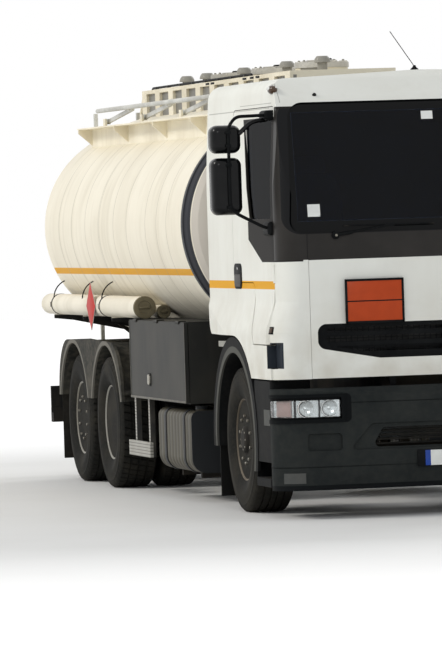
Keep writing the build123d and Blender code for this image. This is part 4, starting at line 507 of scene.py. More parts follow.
def fabric():
    """Woven seat cloth."""
    s = Shader("seat_cloth", (64, 68, 78), 0.9)
    s.set("Sheen Weight", 0.4)
    s.vary(3.0, (48, 50, 58), 0.6)
    weave = s.nodes.new("ShaderNodeTexWave")
    fill(weave, Scale=120.0, Distortion=1.5)
    s.links.new(s.coord, weave.inputs["Vector"])
    s.over(weave.outputs["Fac"], (92, 97, 108), 0.35)
    s.bump(weave.outputs["Fac"], 0.001, 0.6)
    return s.done()


WHITE = cab_white()
CREAM = tank_cream()
BOX = box_cream()
TYRE = tyre_rubber()
DARK = front_trim()
BUMPER = bumper_plastic()
STEP = step_plastic()
GUARD = guard_plastic()
BOARD = guard_board()
FUEL = fuel_aluminium()
TUBES = tube_cream()
CLOTH = fabric()
SCREEN = screen_glass()
WINDOW = glass("window_glass", (44, 60, 76), 1.03).done()
LENS = glass("lens_clear", (235, 240, 242)).done()
BLACK = plastic("black_plastic", (19, 20, 21), (34, 35, 35), 0.45).done()
RUBBER = plastic("black_rubber", (28, 28, 27), (58, 55, 50), 0.85, 200.0).done()
LINING = plastic("cab_lining", (70, 70, 69), (92, 91, 88), 0.7).done()
FLAP_GREY = plastic("flap_grey", (74, 76, 75), (96, 95, 90), 0.5).done()
EDGE = plastic("edge_profile", (104, 103, 99), (136, 132, 122), 0.5).done()
CHASSIS = paint("chassis_black", (34, 34, 34), (78, 71, 60), 0.6, 0.0, 0.55).done()
ENGINE = paint("engine_grey", (96, 98, 98), (60, 54, 44), 0.6, 0.0, 0.7).done()
RIM = paint("rim_silver", (160, 158, 150), (96, 88, 74), 0.42, 0.1, 0.6).done()
# A darker brownish copy of the rim paint for the front wheels: partly dust, partly painted shade
FRONT_RIM = paint("rim_dust_and_shade", (112, 104, 92), (64, 56, 46), 0.5, 0.0, 0.7).done()
LOCKER = paint("locker_grey", (46, 46, 44), (66, 64, 58), 0.5, 0.05, 0.5).done()
COAMING = paint("coaming_cream", (240, 232, 210), (204, 192, 164), 0.45, 0.1, 0.4).done()
CAP = paint("cap_beige", (122, 114, 92), (92, 84, 66), 0.6, 0.0, 0.5).done()
CHROME = metal("chrome", (226, 226, 226), (176, 172, 164), 0.08)
STEEL = metal("galvanised", (206, 206, 200), (158, 156, 148), 0.42)
ALU = metal("aluminium_sheet", (188, 186, 178), (140, 134, 120), 0.36, (0.2, 1, 4))
MIRROR = metal("mirror_glass", (225, 228, 230), (205, 208, 210), 0.02)
BOLT = metal("bolt_zinc", (150, 148, 140), (96, 88, 74), 0.45)
CASE = film("mirror_case", (8, 9, 10), 0.22, 0.06)
ORANGE = film("plate_orange", (178, 66, 24), 0.4, 0.05, (110, 36, 14))
PLATE = film("plate_white", (226, 227, 222), 0.35, 0.2, (160, 158, 150))
BLUE = film("plate_blue", (30, 66, 150), 0.35)
RED = film("placard_red", (188, 48, 40), 0.5, 0.0, (120, 34, 28))
LENS_RED = film("lens_red", (150, 20, 16), 0.12, 0.8)
LENS_AMBER = film("lens_amber", (220, 110, 30), 0.12, 0.8)
LENS_BROWN = film("lens_brown", (74, 56, 42), 0.2, 0.3, (40, 28, 20))
LENS_PINK = film("lens_clear_pink", (206, 168, 158), 0.12, 0.8, (150, 96, 84))

# Mesh helpers


def turned(axis, along, u, v):
    """A point in X, Y, Z order, from its place along an axis and its other two coordinates."""
    return {"x": (along, u, v), "y": (u, along, v), "z": (u, v, along)}[axis]


def circle(count, radius, start=0.0):
    """Points evenly round a circle; start is a share of their spacing."""
    angles = [2 * math.pi * (k + start) / count for k in range(count)]
    return [(radius * math.cos(a), radius * math.sin(a)) for a in angles]


def grid(rows, count, close_rows, close_count):
    """Faces between rows of points; either way the last can be joined to the first."""
    faces = []
    for i in range(rows if close_rows else rows - 1):
        j = (i + 1) % rows
        for k in range(count if close_count else count - 1):
            n = (k + 1) % count
            faces.append([i * count + k, i * count + n, j * count + n, j * count + k])
    return faces


def rounded(a0, a1, b0, b1, radius, steps=5):
    """Points round a rectangle with rounded corners."""
    radius = min(radius, (a1 - a0) / 2 - 1e-4, (b1 - b0) / 2 - 1e-4)
    low_u, high_u, low_v, high_v = a0 + radius, a1 - radius, b0 + radius, b1 - radius
    out = []
    for u, v, start in ((high_u, high_v, 0), (low_u, high_v, 90), (low_u, low_v, 180), (high_u, low_v, 270)):
        for k in range(steps + 1):
            angle = math.radians(start + 90 * k / steps)
            out.append((u + radius * math.cos(angle), v + radius * math.sin(angle)))
    return out


def arc(points, radius, steps=6):
    """A polyline with its inner corners rounded."""
    points = [Vector(p) for p in points]
    out = [points[0]]
    for before, p, after in zip(points, points[1:], points[2:]):
        reach = min(radius, (before - p).length * 0.45, (after - p).length * 0.45)
        start = p + (before - p).normalized() * reach
        end = p + (after - p).normalized() * reach
        for k in range(steps + 1):
            t = k / steps
            out.append(start * (1 - t) ** 2 + p * 2 * t * (1 - t) + end * t * t)
    out.append(points[-1])
    return out


class Piece:
    """One object of the dressed truck, built from simple solids in the axle frame."""

    def __init__(self, name, *mats):
        self.name = name
        self.mats = mats
        self.verts = []
        self.faces = []
        self.slots = []

    def add(self, verts, faces, slot=0):
        base = len(self.verts)
        self.verts += [tuple(v) for v in verts]
        self.faces += [[base + i for i in face] for face in faces]
        self.slots += [slot] * len(faces)

    def take(self, bm, slot=0):
        """Adds a bmesh and frees it."""
        bm.verts.index_update()
        self.add([v.co.copy() for v in bm.verts], [[v.index for v in f.verts] for f in bm.faces], slot)
        bm.free()

    def rings(self, rings, slot=0, closed=False):
        """Joins rings of points: closed, the last runs on into the first, else both ends get a face."""
        count = len(rings[0])
        faces = grid(len(rings), count, closed, True)
        if not closed:
            faces.append(list(range(count))[::-1])
            faces.append([(len(rings) - 1) * count + k for k in range(count)])
        self.add([v for ring in rings for v in ring], faces, slot)

    def box(self, x, y, z, slot=0, bevel=0.003, turn=None):
        """A box with rounded edges over three spans; turn is a matrix about its middle."""
        spans = (x, y, z)
        size = [abs(high - low) for low, high in spans]
        bm = bmesh.new()
        bmesh.ops.create_cube(bm, size=1.0)
        bmesh.ops.scale(bm, vec=size, verts=bm.verts)
        if bevel:
            reach = min(bevel, min(size) * 0.45)
            bmesh.ops.bevel(bm, geom=bm.edges[:], offset=reach, segments=2, affect="EDGES", profile=0.5)
        place = Matrix.Translation([(low + high) / 2 for low, high in spans])
        if turn is not None:
            place = place @ turn.to_4x4()
        bmesh.ops.transform(bm, matrix=place, verts=bm.verts)
        self.take(bm, slot)

    def lathe(self, profile, at, axis="x", slot=0, steps=48, sign=1, closed=False):
        """A profile of (along, radius) turned about an axis through at; sign -1 turns it end for end."""
        rings = []
        for along, radius in profile:
            ring = [turned(axis, sign * along, u, v) for u, v in circle(steps, radius)]
            rings.append([(x + at[0], y + at[1], z + at[2]) for x, y, z in ring])
        self.rings(rings, slot, closed)

    def tube(self, points, radius, slot=0, steps=12, closed=False):
        """A round tube through points."""
        points = [Vector(p) for p in points]
        count = len(points)
        rings = []
        u = None
        for i, p in enumerate(points):
            before = points[i - 1] if (i or closed) else p
            after = points[(i + 1) % count] if (i < count - 1 or closed) else p
            ahead = (after - before).normalized()
            if u is None:
                u = ahead.cross(UP if abs(ahead.z) < 0.9 else Vector((1, 0, 0))).normalized()
            else:
                u = (u - ahead * u.dot(ahead)).normalized()
            w = ahead.cross(u)
            rings.append([p + u * c + w * d for c, d in circle(steps, radius)])
        self.rings(rings, slot, closed)

    def stack(self, a, b, radius, rings, axis="y", slot=0, steps=5):
        """Rounded rectangles over two spans, one behind another: each ring is (place along, drawn in)."""
        a0, a1 = sorted(a)
        b0, b1 = b
        out = []
        for along, inset in rings:
            corner = max(radius - inset, 0.003)
            outline = rounded(a0 + inset, a1 - inset, b0 + inset, b1 - inset, corner, steps)
            out.append([turned(axis, along, u, v) for u, v in outline])
        self.rings(out, slot)

    def bolt(self, at, axis, radius, height, slot, sign=1):
        """A hexagon head standing out along an axis."""
        profile = ((0, radius), (height * 0.8, radius), (height, radius * 0.8))
        self.lathe(profile, at, axis, slot, 6, sign)

    def finish(self, body, replaces=(), angle=38.0):
        """Makes the object in the row frame, with edges kept sharp above an angle."""
        mesh = bpy.data.meshes.new(self.name)
        mesh.from_pydata([(v[0], v[1] - MIDDLE, v[2]) for v in self.verts], [], self.faces)
        for mat in self.mats:
            mesh.materials.append(mat)
        mesh.polygons.foreach_set("material_index", self.slots)
        mesh.update()
        bm = bmesh.new()
        bm.from_mesh(mesh)
        bmesh.ops.recalc_face_normals(bm, faces=bm.faces)
        limit = math.radians(angle)
        for edge in bm.edges:
            edge.smooth = len(edge.link_faces) == 2 and edge.calc_face_angle(0) < limit
        for face in bm.faces:
            face.smooth = True
        bm.to_mesh(mesh)
        bm.free()
        obj = show(self.name, mesh)
        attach(obj, body)
        if replaces:
            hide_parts(*replaces)
        return obj


def caster(node):
    """A function that finds where a ray in the axle frame meets a CAD node: (place, normal) or None."""
    tree = BVHTree.FromObject(NODES[node], bpy.context.evaluated_depsgraph_get())

    def cast(origin, direction):
        start = Vector((origin[0], origin[1] - MIDDLE, origin[2]))
        place, normal, _, _ = tree.ray_cast(start, Vector(direction))
        if place is None:
            return None
        return Vector((place.x, place.y + MIDDLE, place.z)), normal

    return cast


def slab(half, thick, ease=0.002):
    """Section (outwards, across) of a flat strip with eased edges."""
    return ((-0.002, -half), (thick - ease, -half), (thick, ease - half),
            (thick, half - ease), (thick - ease, half), (-0.002, half))


def laid(piece, cast, starts, way, section, across, slot=0):
    """A raised strip laid on a CAD face, a station for each ray; across is the way of the section's width."""
    hits = [cast(start, way) for start in starts]
    rows = [[hit[0] + hit[1] * out + Vector(across) * v for out, v in section] for hit in hits if hit]
    piece.rings(rows, slot)


def bubble(piece, hit, width, height, depth, slot):
    """A rounded lens on a face: hit is (place, normal)."""
    place, normal = hit
    out = normal.normalized()
    along = out.cross(UP).normalized()
    up = along.cross(out)
    bm = bmesh.new()
    bmesh.ops.create_uvsphere(bm, u_segments=24, v_segments=12, radius=1.0)
    for v in bm.verts:
        c = v.co.copy()
        v.co = place + along * c.x * width / 2 + up * c.y * height / 2 + out * c.z * depth
    piece.take(bm, slot)


# Wheels

TREAD_HALF = 0.124
GROOVE_DEPTH = 0.0125
# The tyre's wall as (along, radius) from the bead to the shoulder
TYRE_WALL = (
    (0.108, 0.2865), (0.122, 0.292), (0.134, 0.312), (0.137, 0.318), (0.141, 0.322), (0.1515, 0.372),
    (0.1545, 0.379), (0.1558, 0.400), (0.1545, 0.430), (0.1500, 0.455), (0.1515, 0.459), (0.1475, 0.464),
    (0.1440, 0.486), (0.1345, 0.503), (0.126, 0.5095),
)
STEER_GROOVES = ((-0.080, -0.068), (-0.028, -0.017), (0.017, 0.028), (0.068, 0.080))
DRIVE_GROOVES = ((-0.072, -0.060), (-0.007, 0.007), (0.060, 0.072))
# Grooves round the tyre, cuts across it, how deep they cut each rib, and how far they slant
FRONT_TREAD = (STEER_GROOVES, 60, (0.004, 0.002, 0.0, 0.002, 0.004), 0.25)
TAG_TREAD = (STEER_GROOVES, 60, (0.005, 0.003, 0.0, 0.003, 0.005), 0.25)
DRIVE_TREAD = (DRIVE_GROOVES, 54, (0.013, 0.013, 0.013, 0.013), 0.5)
# The rim's section as (along, radius) from its edge to its middle, outside and inside
RIM_OUTSIDE = (
    (0.122, 0.298), (0.116, 0.2995), (0.110, 0.290), (0.106, 0.2845), (0.060, 0.281), (0.030, 0.262),
)
RIM_INSIDE = ((0.120, 0.286), (0.108, 0.276), (0.062, 0.270), (0.030, 0.252))

# Radius of the circles of wheel nuts and of hub bolts
NUT_CIRCLE = 0.1675
HUB_CIRCLE = 0.070


def crown(along):
    """The tread's radius, which falls a little towards the shoulders."""
    return 0.5145 - 0.0035 * (along / TREAD_HALF) ** 2


def tyre_profile(grooves):
    """(along, radius, rib) round the tyre's outside, from the inner bead to the outer one."""
    edges = [-TREAD_HALF] + [edge for groove in grooves for edge in groove] + [TREAD_HALF]
    tread = []
    for rib in range(len(grooves) + 1):
        a, b = edges[2 * rib:2 * rib + 2]
        if rib:
            tread.append((a - 0.0015, crown(a) - GROOVE_DEPTH, None))
        tread += [(u, crown(u), rib) for u in (a, (a + b) / 2, b)]
        if rib < len(grooves):
            tread.append((b + 0.0015, crown(b) - GROOVE_DEPTH, None))
    left = [(-a, r, None) for a, r in TYRE_WALL]
    right = [(a, r, None) for a, r in reversed(TYRE_WALL)]
    return left + tread + right


def tyre_mesh(piece, x, y, grooves, pitch, cuts, slant):
    """Adds a tyre: ribs or blocks cut across by grooves at each pitch, with moulded sidewalls."""
    profile = tyre_profile(grooves)
    step = 2 * math.pi / pitch
    verts = []
    for k in range(pitch):
        for share, low in ((0.10, False), (0.86, False), (0.88, True), (0.98, True)):
            for along, radius, rib in profile:
                turn = (k + share) * step
                if rib is not None:
                    turn += slant * along
                if low and rib is not None:
                    radius -= cuts[rib]
                elif low and 0.47 < radius < 0.505 and abs(along) > 0.13:
                    radius -= 0.004
                verts.append((x + along, y + radius * math.cos(turn), AXLE_Z + radius * math.sin(turn)))
    piece.add(verts, grid(4 * pitch, len(profile), True, False))
    # Bead flange inside, so that the tyre is closed towards the rim
    for sign in (-1, 1):
        piece.lathe(((0.085, 0.2865), (0.108, 0.2867), (0.112, 0.2945)), (x, y, AXLE_Z), "x", 0, 64, sign)


def wheel_ring(x, y, count, radius, start=0.0):
    """Points round a wheel's axis at a place x across."""
    return [(x, y + u, AXLE_Z + v) for u, v in circle(count, radius, start)]


def disc(piece, x, y, side, rings, open_ring):
    """A pressed wheel disc: rings of (outwards, radius), with rounded hand holes beyond one of them."""
    steps = 60
    verts = [v for out, radius in rings for v in wheel_ring(x + side * out, y, steps, radius)]
    faces = grid(len(rings), steps, False, True)
    # A hole takes three faces out of each six
    holes = [open_ring * steps + k for k in range(steps) if k % 6 in (1, 2, 3)]
    mesh = bpy.data.meshes.new("disc_work")
    mesh.from_pydata(verts, [], [face for index, face in enumerate(faces) if index not in holes])
    obj = show("disc_work", mesh)
    solid = obj.modifiers.new("wall", "SOLIDIFY")
    solid.thickness = 0.010
    solid.offset = 0.0
    smooth = obj.modifiers.new("round", "SUBSURF")
    smooth.levels = 1
    ready = bpy.data.meshes.new_from_object(obj.evaluated_get(bpy.context.evaluated_depsgraph_get()))
    piece.add([v.co.copy() for v in ready.vertices], [list(p.vertices) for p in ready.polygons])
    bpy.data.objects.remove(obj)
    bpy.data.meshes.remove(ready)
    bpy.data.meshes.remove(mesh)


def wheel(piece, x, y, side, dish, hub, outer):
    """A steel wheel. dish is the disc's place, hub the hub's end, both outwards from the rim's middle.

    An outer wheel has a bright lip and shows its nuts.
    """
    at = (x, y, AXLE_Z)
    barrel = [(-a, r) for a, r in RIM_OUTSIDE] + list(RIM_OUTSIDE[::-1])
    barrel += list(RIM_INSIDE) + [(-a, r) for a, r in RIM_INSIDE[::-1]]
    piece.lathe(barrel, at, "x", 0, 72, side, closed=True)
    lip = ((0.1225, 0.2985), (0.1235, 0.3000), (0.1225, 0.3010), (0.118, 0.3005), (0.118, 0.296))
    piece.lathe(lip, at, "x", 1 if outer else 0, 72, side, closed=True)
    way = 1 if hub > dish else -1
    pressed = (
        (0.004, 0.100), (0.004, 0.150), (0.0, 0.185), (-0.014, 0.200),
        (-0.028, 0.232), (-0.032, 0.246), (-0.034, 0.258),
    )
    disc(piece, x, y, side, [(dish + way * out, radius) for out, radius in pressed], 3)
    face = dish + way * 0.010
    nut = ((0, 0.021), (0.004, 0.021), (0.006, 0.016), (0.024, 0.016), (0.026, 0.011))
    stud = ((0.02, 0.011), (0.040, 0.011), (0.042, 0.009))
    if outer:
        for spot in wheel_ring(x + side * face, y, 10, NUT_CIRCLE, 0.5):
            piece.lathe(nut, spot, "x", 2, 6, side * way)
            piece.lathe(stud, spot, "x", 2, 10, side * way)
    nave = (
        (dish - way * 0.02, 0.128), (face, 0.126), (face + way * 0.012, 0.118), (hub - way * 0.045, 0.105),
        (hub - way * 0.012, 0.092), (hub - way * 0.004, 0.080), (hub, 0.050), (hub, 0.047),
    )
    piece.lathe(nave, at, "x", 3, 40, side)
    for spot in wheel_ring(x + side * (hub - way * 0.010), y, 8, HUB_CIRCLE):
        piece.bolt(spot, "x", 0.008, 0.008, 2, side * way)


def wheel_set(names, y, tread, colors, wheels):
    """Tyres and rims of one axle end: wheels holds (x, way out, disc's place, hub's end, outer or not)."""
    tyre = Piece(names % "tyre" + "_tread", TYRE)
    rim = Piece(names % "wheel" + "_steel", *colors, BOLT, CHASSIS)
    for x, side, dish, hub, outer in wheels:
        tyre_mesh(tyre, x, y, *tread)
        wheel(rim, x, y, side, dish, hub, outer)
    tyre.finish(names % "wheel", [names % "tyre"])
    rim.finish(names % "wheel", [names % "rim"])


def build_wheels():
    """All six wheel bodies: single front and tag wheels, and twins on the driven axle."""
    for side, name in SIDES:
        front = (side * FRONT_TRACK, side, 0.075, 0.140, True)
        wheel_set("front_%s_" + name, FRONT_Y, FRONT_TREAD, (FRONT_RIM, FRONT_RIM), [front])
        twins = (
            (side * DRIVE_TRACK, side, -0.095, 0.070, True),
            (side * (DRIVE_TRACK - TWIN_SPACING), -side, -0.095, -0.050, False),
        )
        wheel_set("drive_%ss_" + name, DRIVE_Y, DRIVE_TREAD, (RIM, CHROME), twins)
        tag = (side * TAG_TRACK, side, 0.075, 0.110, True)
        wheel_set("tag_%s_" + name, TAG_Y, TAG_TREAD, (RIM, CHROME), [tag])


# Cab


def mirrors(side, name):
    """Two glossy heads with their glasses on a bent tube that stands out from the door, and their stay."""
    p = Piece("mirror_set_" + name, CASE, MIRROR, BLACK)
    arm_x = side * 1.440
    tube_y = -1.122
    head = (side * 1.340, side * 1.555)
    shell = (
        (-1.110, 0.050), (-1.108, 0.036), (-1.100, 0.022), (-1.085, 0.010), (-1.060, 0.002), (-1.040, 0.0),
        (-0.992, 0.0), (-0.986, 0.004), (-0.985, 0.009), (-0.990, 0.011),
    )
    glass_rings = ((-0.991, 0.012), (-0.9875, 0.012), (-0.9865, 0.016))
    for low, high in ((2.535, 2.730), (2.110, 2.505)):
        p.stack(head, (low, high), 0.055, shell, "y", 0, 7)
        p.stack(head, (low, high), 0.055, glass_rings, "y", 1, 7)
        for z in (low + 0.05, high - 0.05):
            p.box(about(arm_x, 0.018), (-1.136, -1.09), about(z, 0.012), 2, 0.004)
    foot = 2.010
    top = 2.790
    route = [
        (side * 1.13, -1.04, top), (side * 1.19, tube_y, top), (side * 1.385, tube_y, top - 0.004),
        (arm_x, tube_y, top - 0.075), (arm_x, tube_y, foot + 0.130), (side * 1.20, tube_y, foot + 0.004),
        (side * 1.13, -1.04, foot),
    ]
    p.tube(arc(route, 0.07), 0.0115, 2)
    # The stay, a thicker arm, reaches from the top base to the back of the upper head
    stay = [(side * 1.15, -1.06, 2.762), (side * 1.26, -1.075, 2.752), (side * 1.36, -1.085, 2.665)]
    p.tube(arc(stay, 0.06), 0.016, 0)
    base = [(side * out, inset) for out, inset in ((1.06, 0.0), (1.165, 0.0), (1.180, 0.012), (1.184, 0.030))]
    for heights in ((foot - 0.050, foot + 0.045), about(top, 0.035)):
        p.stack((-1.138, -0.940), heights, 0.025, base, "x", 2)
    p.finish("door_" + name, ["mirrors_" + name])


def door_trim(side, name):
    """The dark pocket behind the door handle, the flush grip over it and the lock."""
    skin = caster("door_" + name)((side * 1.6, 0.03, 1.67), (-side, 0, 0))[0].x
    p = Piece("door_handle_" + name, BLACK, DARK, CHROME)
    pocket = [(skin + side * out, inset) for out, inset in ((-0.004, 0.0), (0.003, 0.0), (0.005, 0.004))]
    p.stack((-0.095, 0.150), (1.585, 1.765), 0.045, pocket, "x", 0, 7)
    grip = [(skin + side * out, inset) for out, inset in ((0.004, 0.0), (0.009, 0.003), (0.010, 0.010))]
    p.stack((-0.078, 0.133), (1.600, 1.690), 0.034, grip, "x", 1, 7)
    lock = ((0, 0.010), (0.003, 0.010), (0.004, 0.007))
    p.lathe(lock, (skin + side * 0.004, 0.03, 1.730), "x", 2, 20, side)
    p.finish("door_" + name)


def wipers():
    """Two parked wipers: spindle, arm with its joint, blade frame and rubber along the foot of the screen."""
    casts = (caster("windscreen"), caster("cab_front_trim"))

    def front(x, z):
        """How far back the screen or its surround lies at a place."""
        hits = [cast((x, AHEAD, z), BACKWARDS) for cast in casts]
        return next(hit[0].y for hit in hits if hit)

    p = Piece("wiper_blades", BLACK, RUBBER, BOLT)
    foot_z = 1.948
    blade_z = 2.010
    arm_length = 0.39
    blade_length = 0.64
    # How far the arm stands off the glass at shares of its length
    lifts = ((0.0, 0.012), (0.12, 0.020), (0.3, 0.026), (0.6, 0.026), (0.9, 0.024), (1.0, 0.022))
    for start in (-0.70, 0.15):
        foot_x = start - 0.06
        foot_y = front(foot_x, foot_z)
        p.lathe(((0, 0.028), (-0.018, 0.026), (-0.024, 0.018)), (foot_x, foot_y, foot_z), "y", 0, 20)
        p.lathe(((0, 0.010), (-0.010, 0.009)), (foot_x, foot_y - 0.022, foot_z), "y", 2, 6)
        route = []
        for share, lift in lifts:
            x = foot_x + arm_length * share
            z = foot_z + (blade_z - foot_z) * share
            route.append((x, front(x, z) - lift, z))
        p.tube(route[:3], 0.012, 0, 8)
        p.tube(route[2:], 0.007, 0, 8)
        blade = [(x, front(x, blade_z)) for x in spread(start, start + blade_length, 17)]
        p.tube([(x, y - 0.013, blade_z) for x, y in blade], 0.005, 1, 6)
        p.tube([(x, y - 0.020, blade_z + 0.002) for x, y in blade[1:-1]], 0.006, 0, 6)
        x, y = blade[8]
        p.box(about(x, 0.035), (y - 0.032, y - 0.016), (2.001, 2.022))
    p.finish("cab", ["wipers"])


def lamp_line():
    """Places and outward normals along the floor of the right lamp well, from inboard round the corner."""
    cast = caster("front_bumper")
    z = (LAMP_LOW + LAMP_HIGH) / 2
    out = [cast((x, AHEAD, z), BACKWARDS) for x in spread(-0.779, -0.989, 7)]
    centre = Vector((-0.990, -1.155, z))
    for degrees in spread(90, 178, 15)[1:]:
        angle = math.radians(degrees)
        way = Vector((math.cos(angle), -math.sin(angle), 0))
        out.append(cast(centre + way, -way))
    return [hit for hit in out if hit]


def lamp_place(hit, out, side, z):
    """A point so far outwards from the lamp well's floor, on either side of the truck."""
    place = hit[0] + hit[1] * out
    return (place.x * -side, place.y, z)


def headlamps():
    """Headlamps in the bumper wells: frame, bowls, indicator and a clear lens that wraps the corner."""
    line = lamp_line()
    low = LAMP_LOW
    high = LAMP_HIGH
    mid = (low + high) / 2
    p = Piece("headlamps", LENS, BLACK, CHROME, LENS_PINK)
    # Sections as (outwards from the well's floor, height)
    lens = (
        (0.0215, low + 0.006), (0.0265, low + 0.008), (0.0285, low + 0.016), (0.0290, mid),
        (0.0285, high - 0.016), (0.0265, high - 0.008), (0.0215, high - 0.006), (0.0245, mid),
    )
    lower_rim = ((0.001, low - 0.004), (0.029, low - 0.004), (0.030, low + 0.006), (0.001, low + 0.006))
    upper_rim = ((0.001, high - 0.006), (0.030, high - 0.006), (0.029, high + 0.004), (0.001, high + 0.004))
    floor = ((0.001, low), (0.004, low), (0.004, high), (0.001, high))
    indicator = ((0.004, low + 0.01), (0.016, low + 0.014), (0.016, high - 0.014), (0.004, high - 0.01))
    whole = ((lens, 0), (lower_rim, 1), (upper_rim, 1), (floor, 2))
    parts = [(section, slot, line) for section, slot in whole] + [(indicator, 3, line[11:17])]
    radius = 0.0605
    bowl = (
        (-0.002, radius), (-0.019, radius), (-0.019, radius - 0.005), (-0.010, radius * 0.75),
        (-0.003, radius * 0.35), (-0.002, 0.010), (-0.012, 0.010), (-0.014, 0.004),
    )
    for side, _ in SIDES:
        for section, slot, stretch in parts:
            p.rings([[lamp_place(hit, out, side, z) for out, z in section] for hit in stretch], slot)
        for index in (2, 7):
            p.lathe(bowl, lamp_place(line[index], 0.004, side, mid), "y", 2, 36)
        for index in (4, 10):
            x, y, _ = lamp_place(line[index], 0.010, side, mid)
            p.box(about(x, 0.005), (y - 0.008, y + 0.012), (low, high), 1, 0.001)
    p.finish("chassis")


def cushion(name, middle, size, lean, power=4.5, seams=1):
    """A stuffed pad: a crowned closed form, drawn in at its edges, with piping round it and sewn channels.

    size is half its width, length and thickness; a higher power makes its corners squarer.
    """
    bm = bmesh.new()
    bmesh.ops.create_cube(bm, size=2.0)
    bmesh.ops.subdivide_edges(bm, edges=bm.edges[:], cuts=11, use_grid_fill=True)
    place = Matrix.Translation(middle) @ Matrix.Rotation(math.radians(lean), 4, "X")
    for v in bm.verts:
        u = v.co / sum(abs(c) ** power for c in v.co) ** (1 / power)
        # Both faces are pulled in at the sewn channels across the pad
        channels = [2 * (k + 1) / (seams + 1) - 1 for k in range(seams)]
        dip = sum(math.exp(-(((u.y - line) * size[1]) / 0.018) ** 2) * 0.10 for line in channels)
        v.co = Vector((u.x * size[0], u.y * size[1], u.z * (1 - dip) * size[2]))
    bmesh.ops.transform(bm, matrix=place, verts=bm.verts)
    p = Piece(name, CLOTH, LINING)
    p.take(bm, 0)
    outline = rounded(-size[0], size[0], -size[1], size[1], min(size[0], size[1]) * 0.45, 8)
    p.tube([place @ Vector((u * 0.975, v * 0.975, 0)) for u, v in outline], 0.006, 1, 6, closed=True)
    obj = p.finish("cab", ["seats"], angle=60.0)


def seats():
    """Two seats on pedestals, each a cushion, a back and a headrest, and the bunk behind them."""
    p = Piece("seat_bases", LINING, BLACK)
    for side, name in SIDES:
        x = side * 0.61
        cushion("seat_cushion_" + name, (x, -0.335, 1.700), (0.245, 0.225, 0.062), 2.0, seams=2)
        cushion("seat_back_" + name, (x, 0.055, 2.060), (0.240, 0.335, 0.058), 80.0, seams=3)
        cushion("headrest_" + name, (x, 0.125, 2.440), (0.135, 0.075, 0.040), 82.0, 3.5, 0)
        p.box(about(x, 0.19), (-0.48, -0.06), (1.2003, 1.30), 0, 0.02)
        p.box(about(x, 0.15), (-0.44, -0.10), (1.29, 1.56), 1, 0.03)
        p.box(about(x, 0.22), (-0.54, -0.08), (1.55, 1.645), 0, 0.02)
    p.box((-1.03, 1.03), (0.48, 0.995), (1.4303, 1.565), 0, 0.01)
    p.finish("cab", ["seats"])
    cushion("bunk_mattress", (0.0, 0.680, 1.630), (1.035, 0.318, 0.068), 0.0, 7.0)


def plates():
    """Orange hazard plate on the hatch and the front number plate, both left blank."""
    p = Piece("hazard_plate", ORANGE, BLACK, STEEL)
    y = -1.398
    x0 = -0.705
    x1 = -0.305
    low = 1.345
    high = 1.635
    frame_y = (y - 0.003, y + 0.012)
    p.box((x0, x1), (y, y + 0.003), (low, high), 0, 0.001)
    for x in (x0, x1):
        p.box(about(x, 0.008), frame_y, (low - 0.008, high + 0.008), 1, 0.002)
    for z in (low, high):
        p.box((x0 - 0.008, x1 + 0.008), frame_y, about(z, 0.008), 1, 0.002)
    p.box((x0 + 0.005, x1 - 0.005), (y - 0.001, y + 0.003), about((low + high) / 2, 0.004), 1, 0.0)
    for x in (-0.65, -0.36):
        p.box(about(x, 0.02), (y + 0.010, y + 0.034), (1.42, 1.56), 2, 0.002)
    p.finish("hatch")
    p = Piece("front_number_plate", PLATE, BLUE, BLACK)
    p.box((-0.252, 0.332), (-1.456, -1.450), (0.340, 0.455), 2, 0.002)
    p.box((-0.196, 0.324), (-1.458, -1.455), (0.345, 0.450), 0, 0.001)
    p.box((-0.196, -0.158), (-1.4585, -1.455), (0.345, 0.450), 1, 0.001)
    p.finish("chassis")


def roof_fittings():
    """Marker lamps on the roof's front corners, a nub, and the whip aerial."""
    shell = caster("cab_shell")
    p = Piece("roof_fittings", BLACK, LENS_BROWN, CASE, PLATE)
    for side, _ in SIDES:
        hit = shell((side * 2.0, -1.07, 2.965), (-side, 0.0, 0.0))
        bubble(p, hit, 0.130, 0.064, 0.034, 1)
        bubble(p, (hit[0] + hit[1] * 0.010, hit[1]), 0.080, 0.036, 0.034, 3)
    bubble(p, shell((-0.83, AHEAD, 2.919), BACKWARDS), 0.030, 0.026, 0.018, 2)
    x, y, z = shell((-0.018, -0.78, OVERHEAD), DOWN)[0]
    p.lathe(((-0.003, 0.030), (0.008, 0.028), (0.020, 0.014), (0.034, 0.008)), (x, y, z), "z", 0, 20)
    p.tube([(x, y, z + 0.025), (-0.182, -0.76, 3.358)], 0.0032, 2, 8)
    p.finish("cab")


def screen_labels():
    """Two blank stickers low and high on the windscreen."""
    screen = caster("windscreen")
    p = Piece("screen_labels", PLATE)
    # Middle across, half width, lowest and highest point
    for x, half, low, high in ((-0.902, 0.044, 2.080, 2.165), (-0.052, 0.041, 2.732, 2.788)):
        starts = [(x, AHEAD, z) for z in spread(low, high, 4)]
        laid(p, screen, starts, BACKWARDS, slab(half, 0.0016, 0.0004), (1, 0, 0))
    p.finish("cab")


def corner_repeaters():
    """A small square lamp with a smoked lens on each front corner."""
    shell = caster("cab_shell")
    p = Piece("corner_repeaters", BLACK, LENS_BROWN)
    for side, _ in SIDES:
        # The photograph's line of sight through the right lamp, or its mirror image
        place, normal = shell((side * 1.449, -2.378, 1.328), (-side * 0.209, 0.978, -0.019))
        turn = normal.to_track_quat("Z", "Y").to_matrix()
        for half, low, high, slot in ((0.026, -0.004, 0.004, 0), (0.018, 0.003, 0.008, 1)):
            middle = place + normal * (low + high) / 2
            spans = [about(c, size) for c, size in zip(middle, (half, half, (high - low) / 2))]
            p.box(*spans, slot, 0.002, turn)
    p.finish("cab")


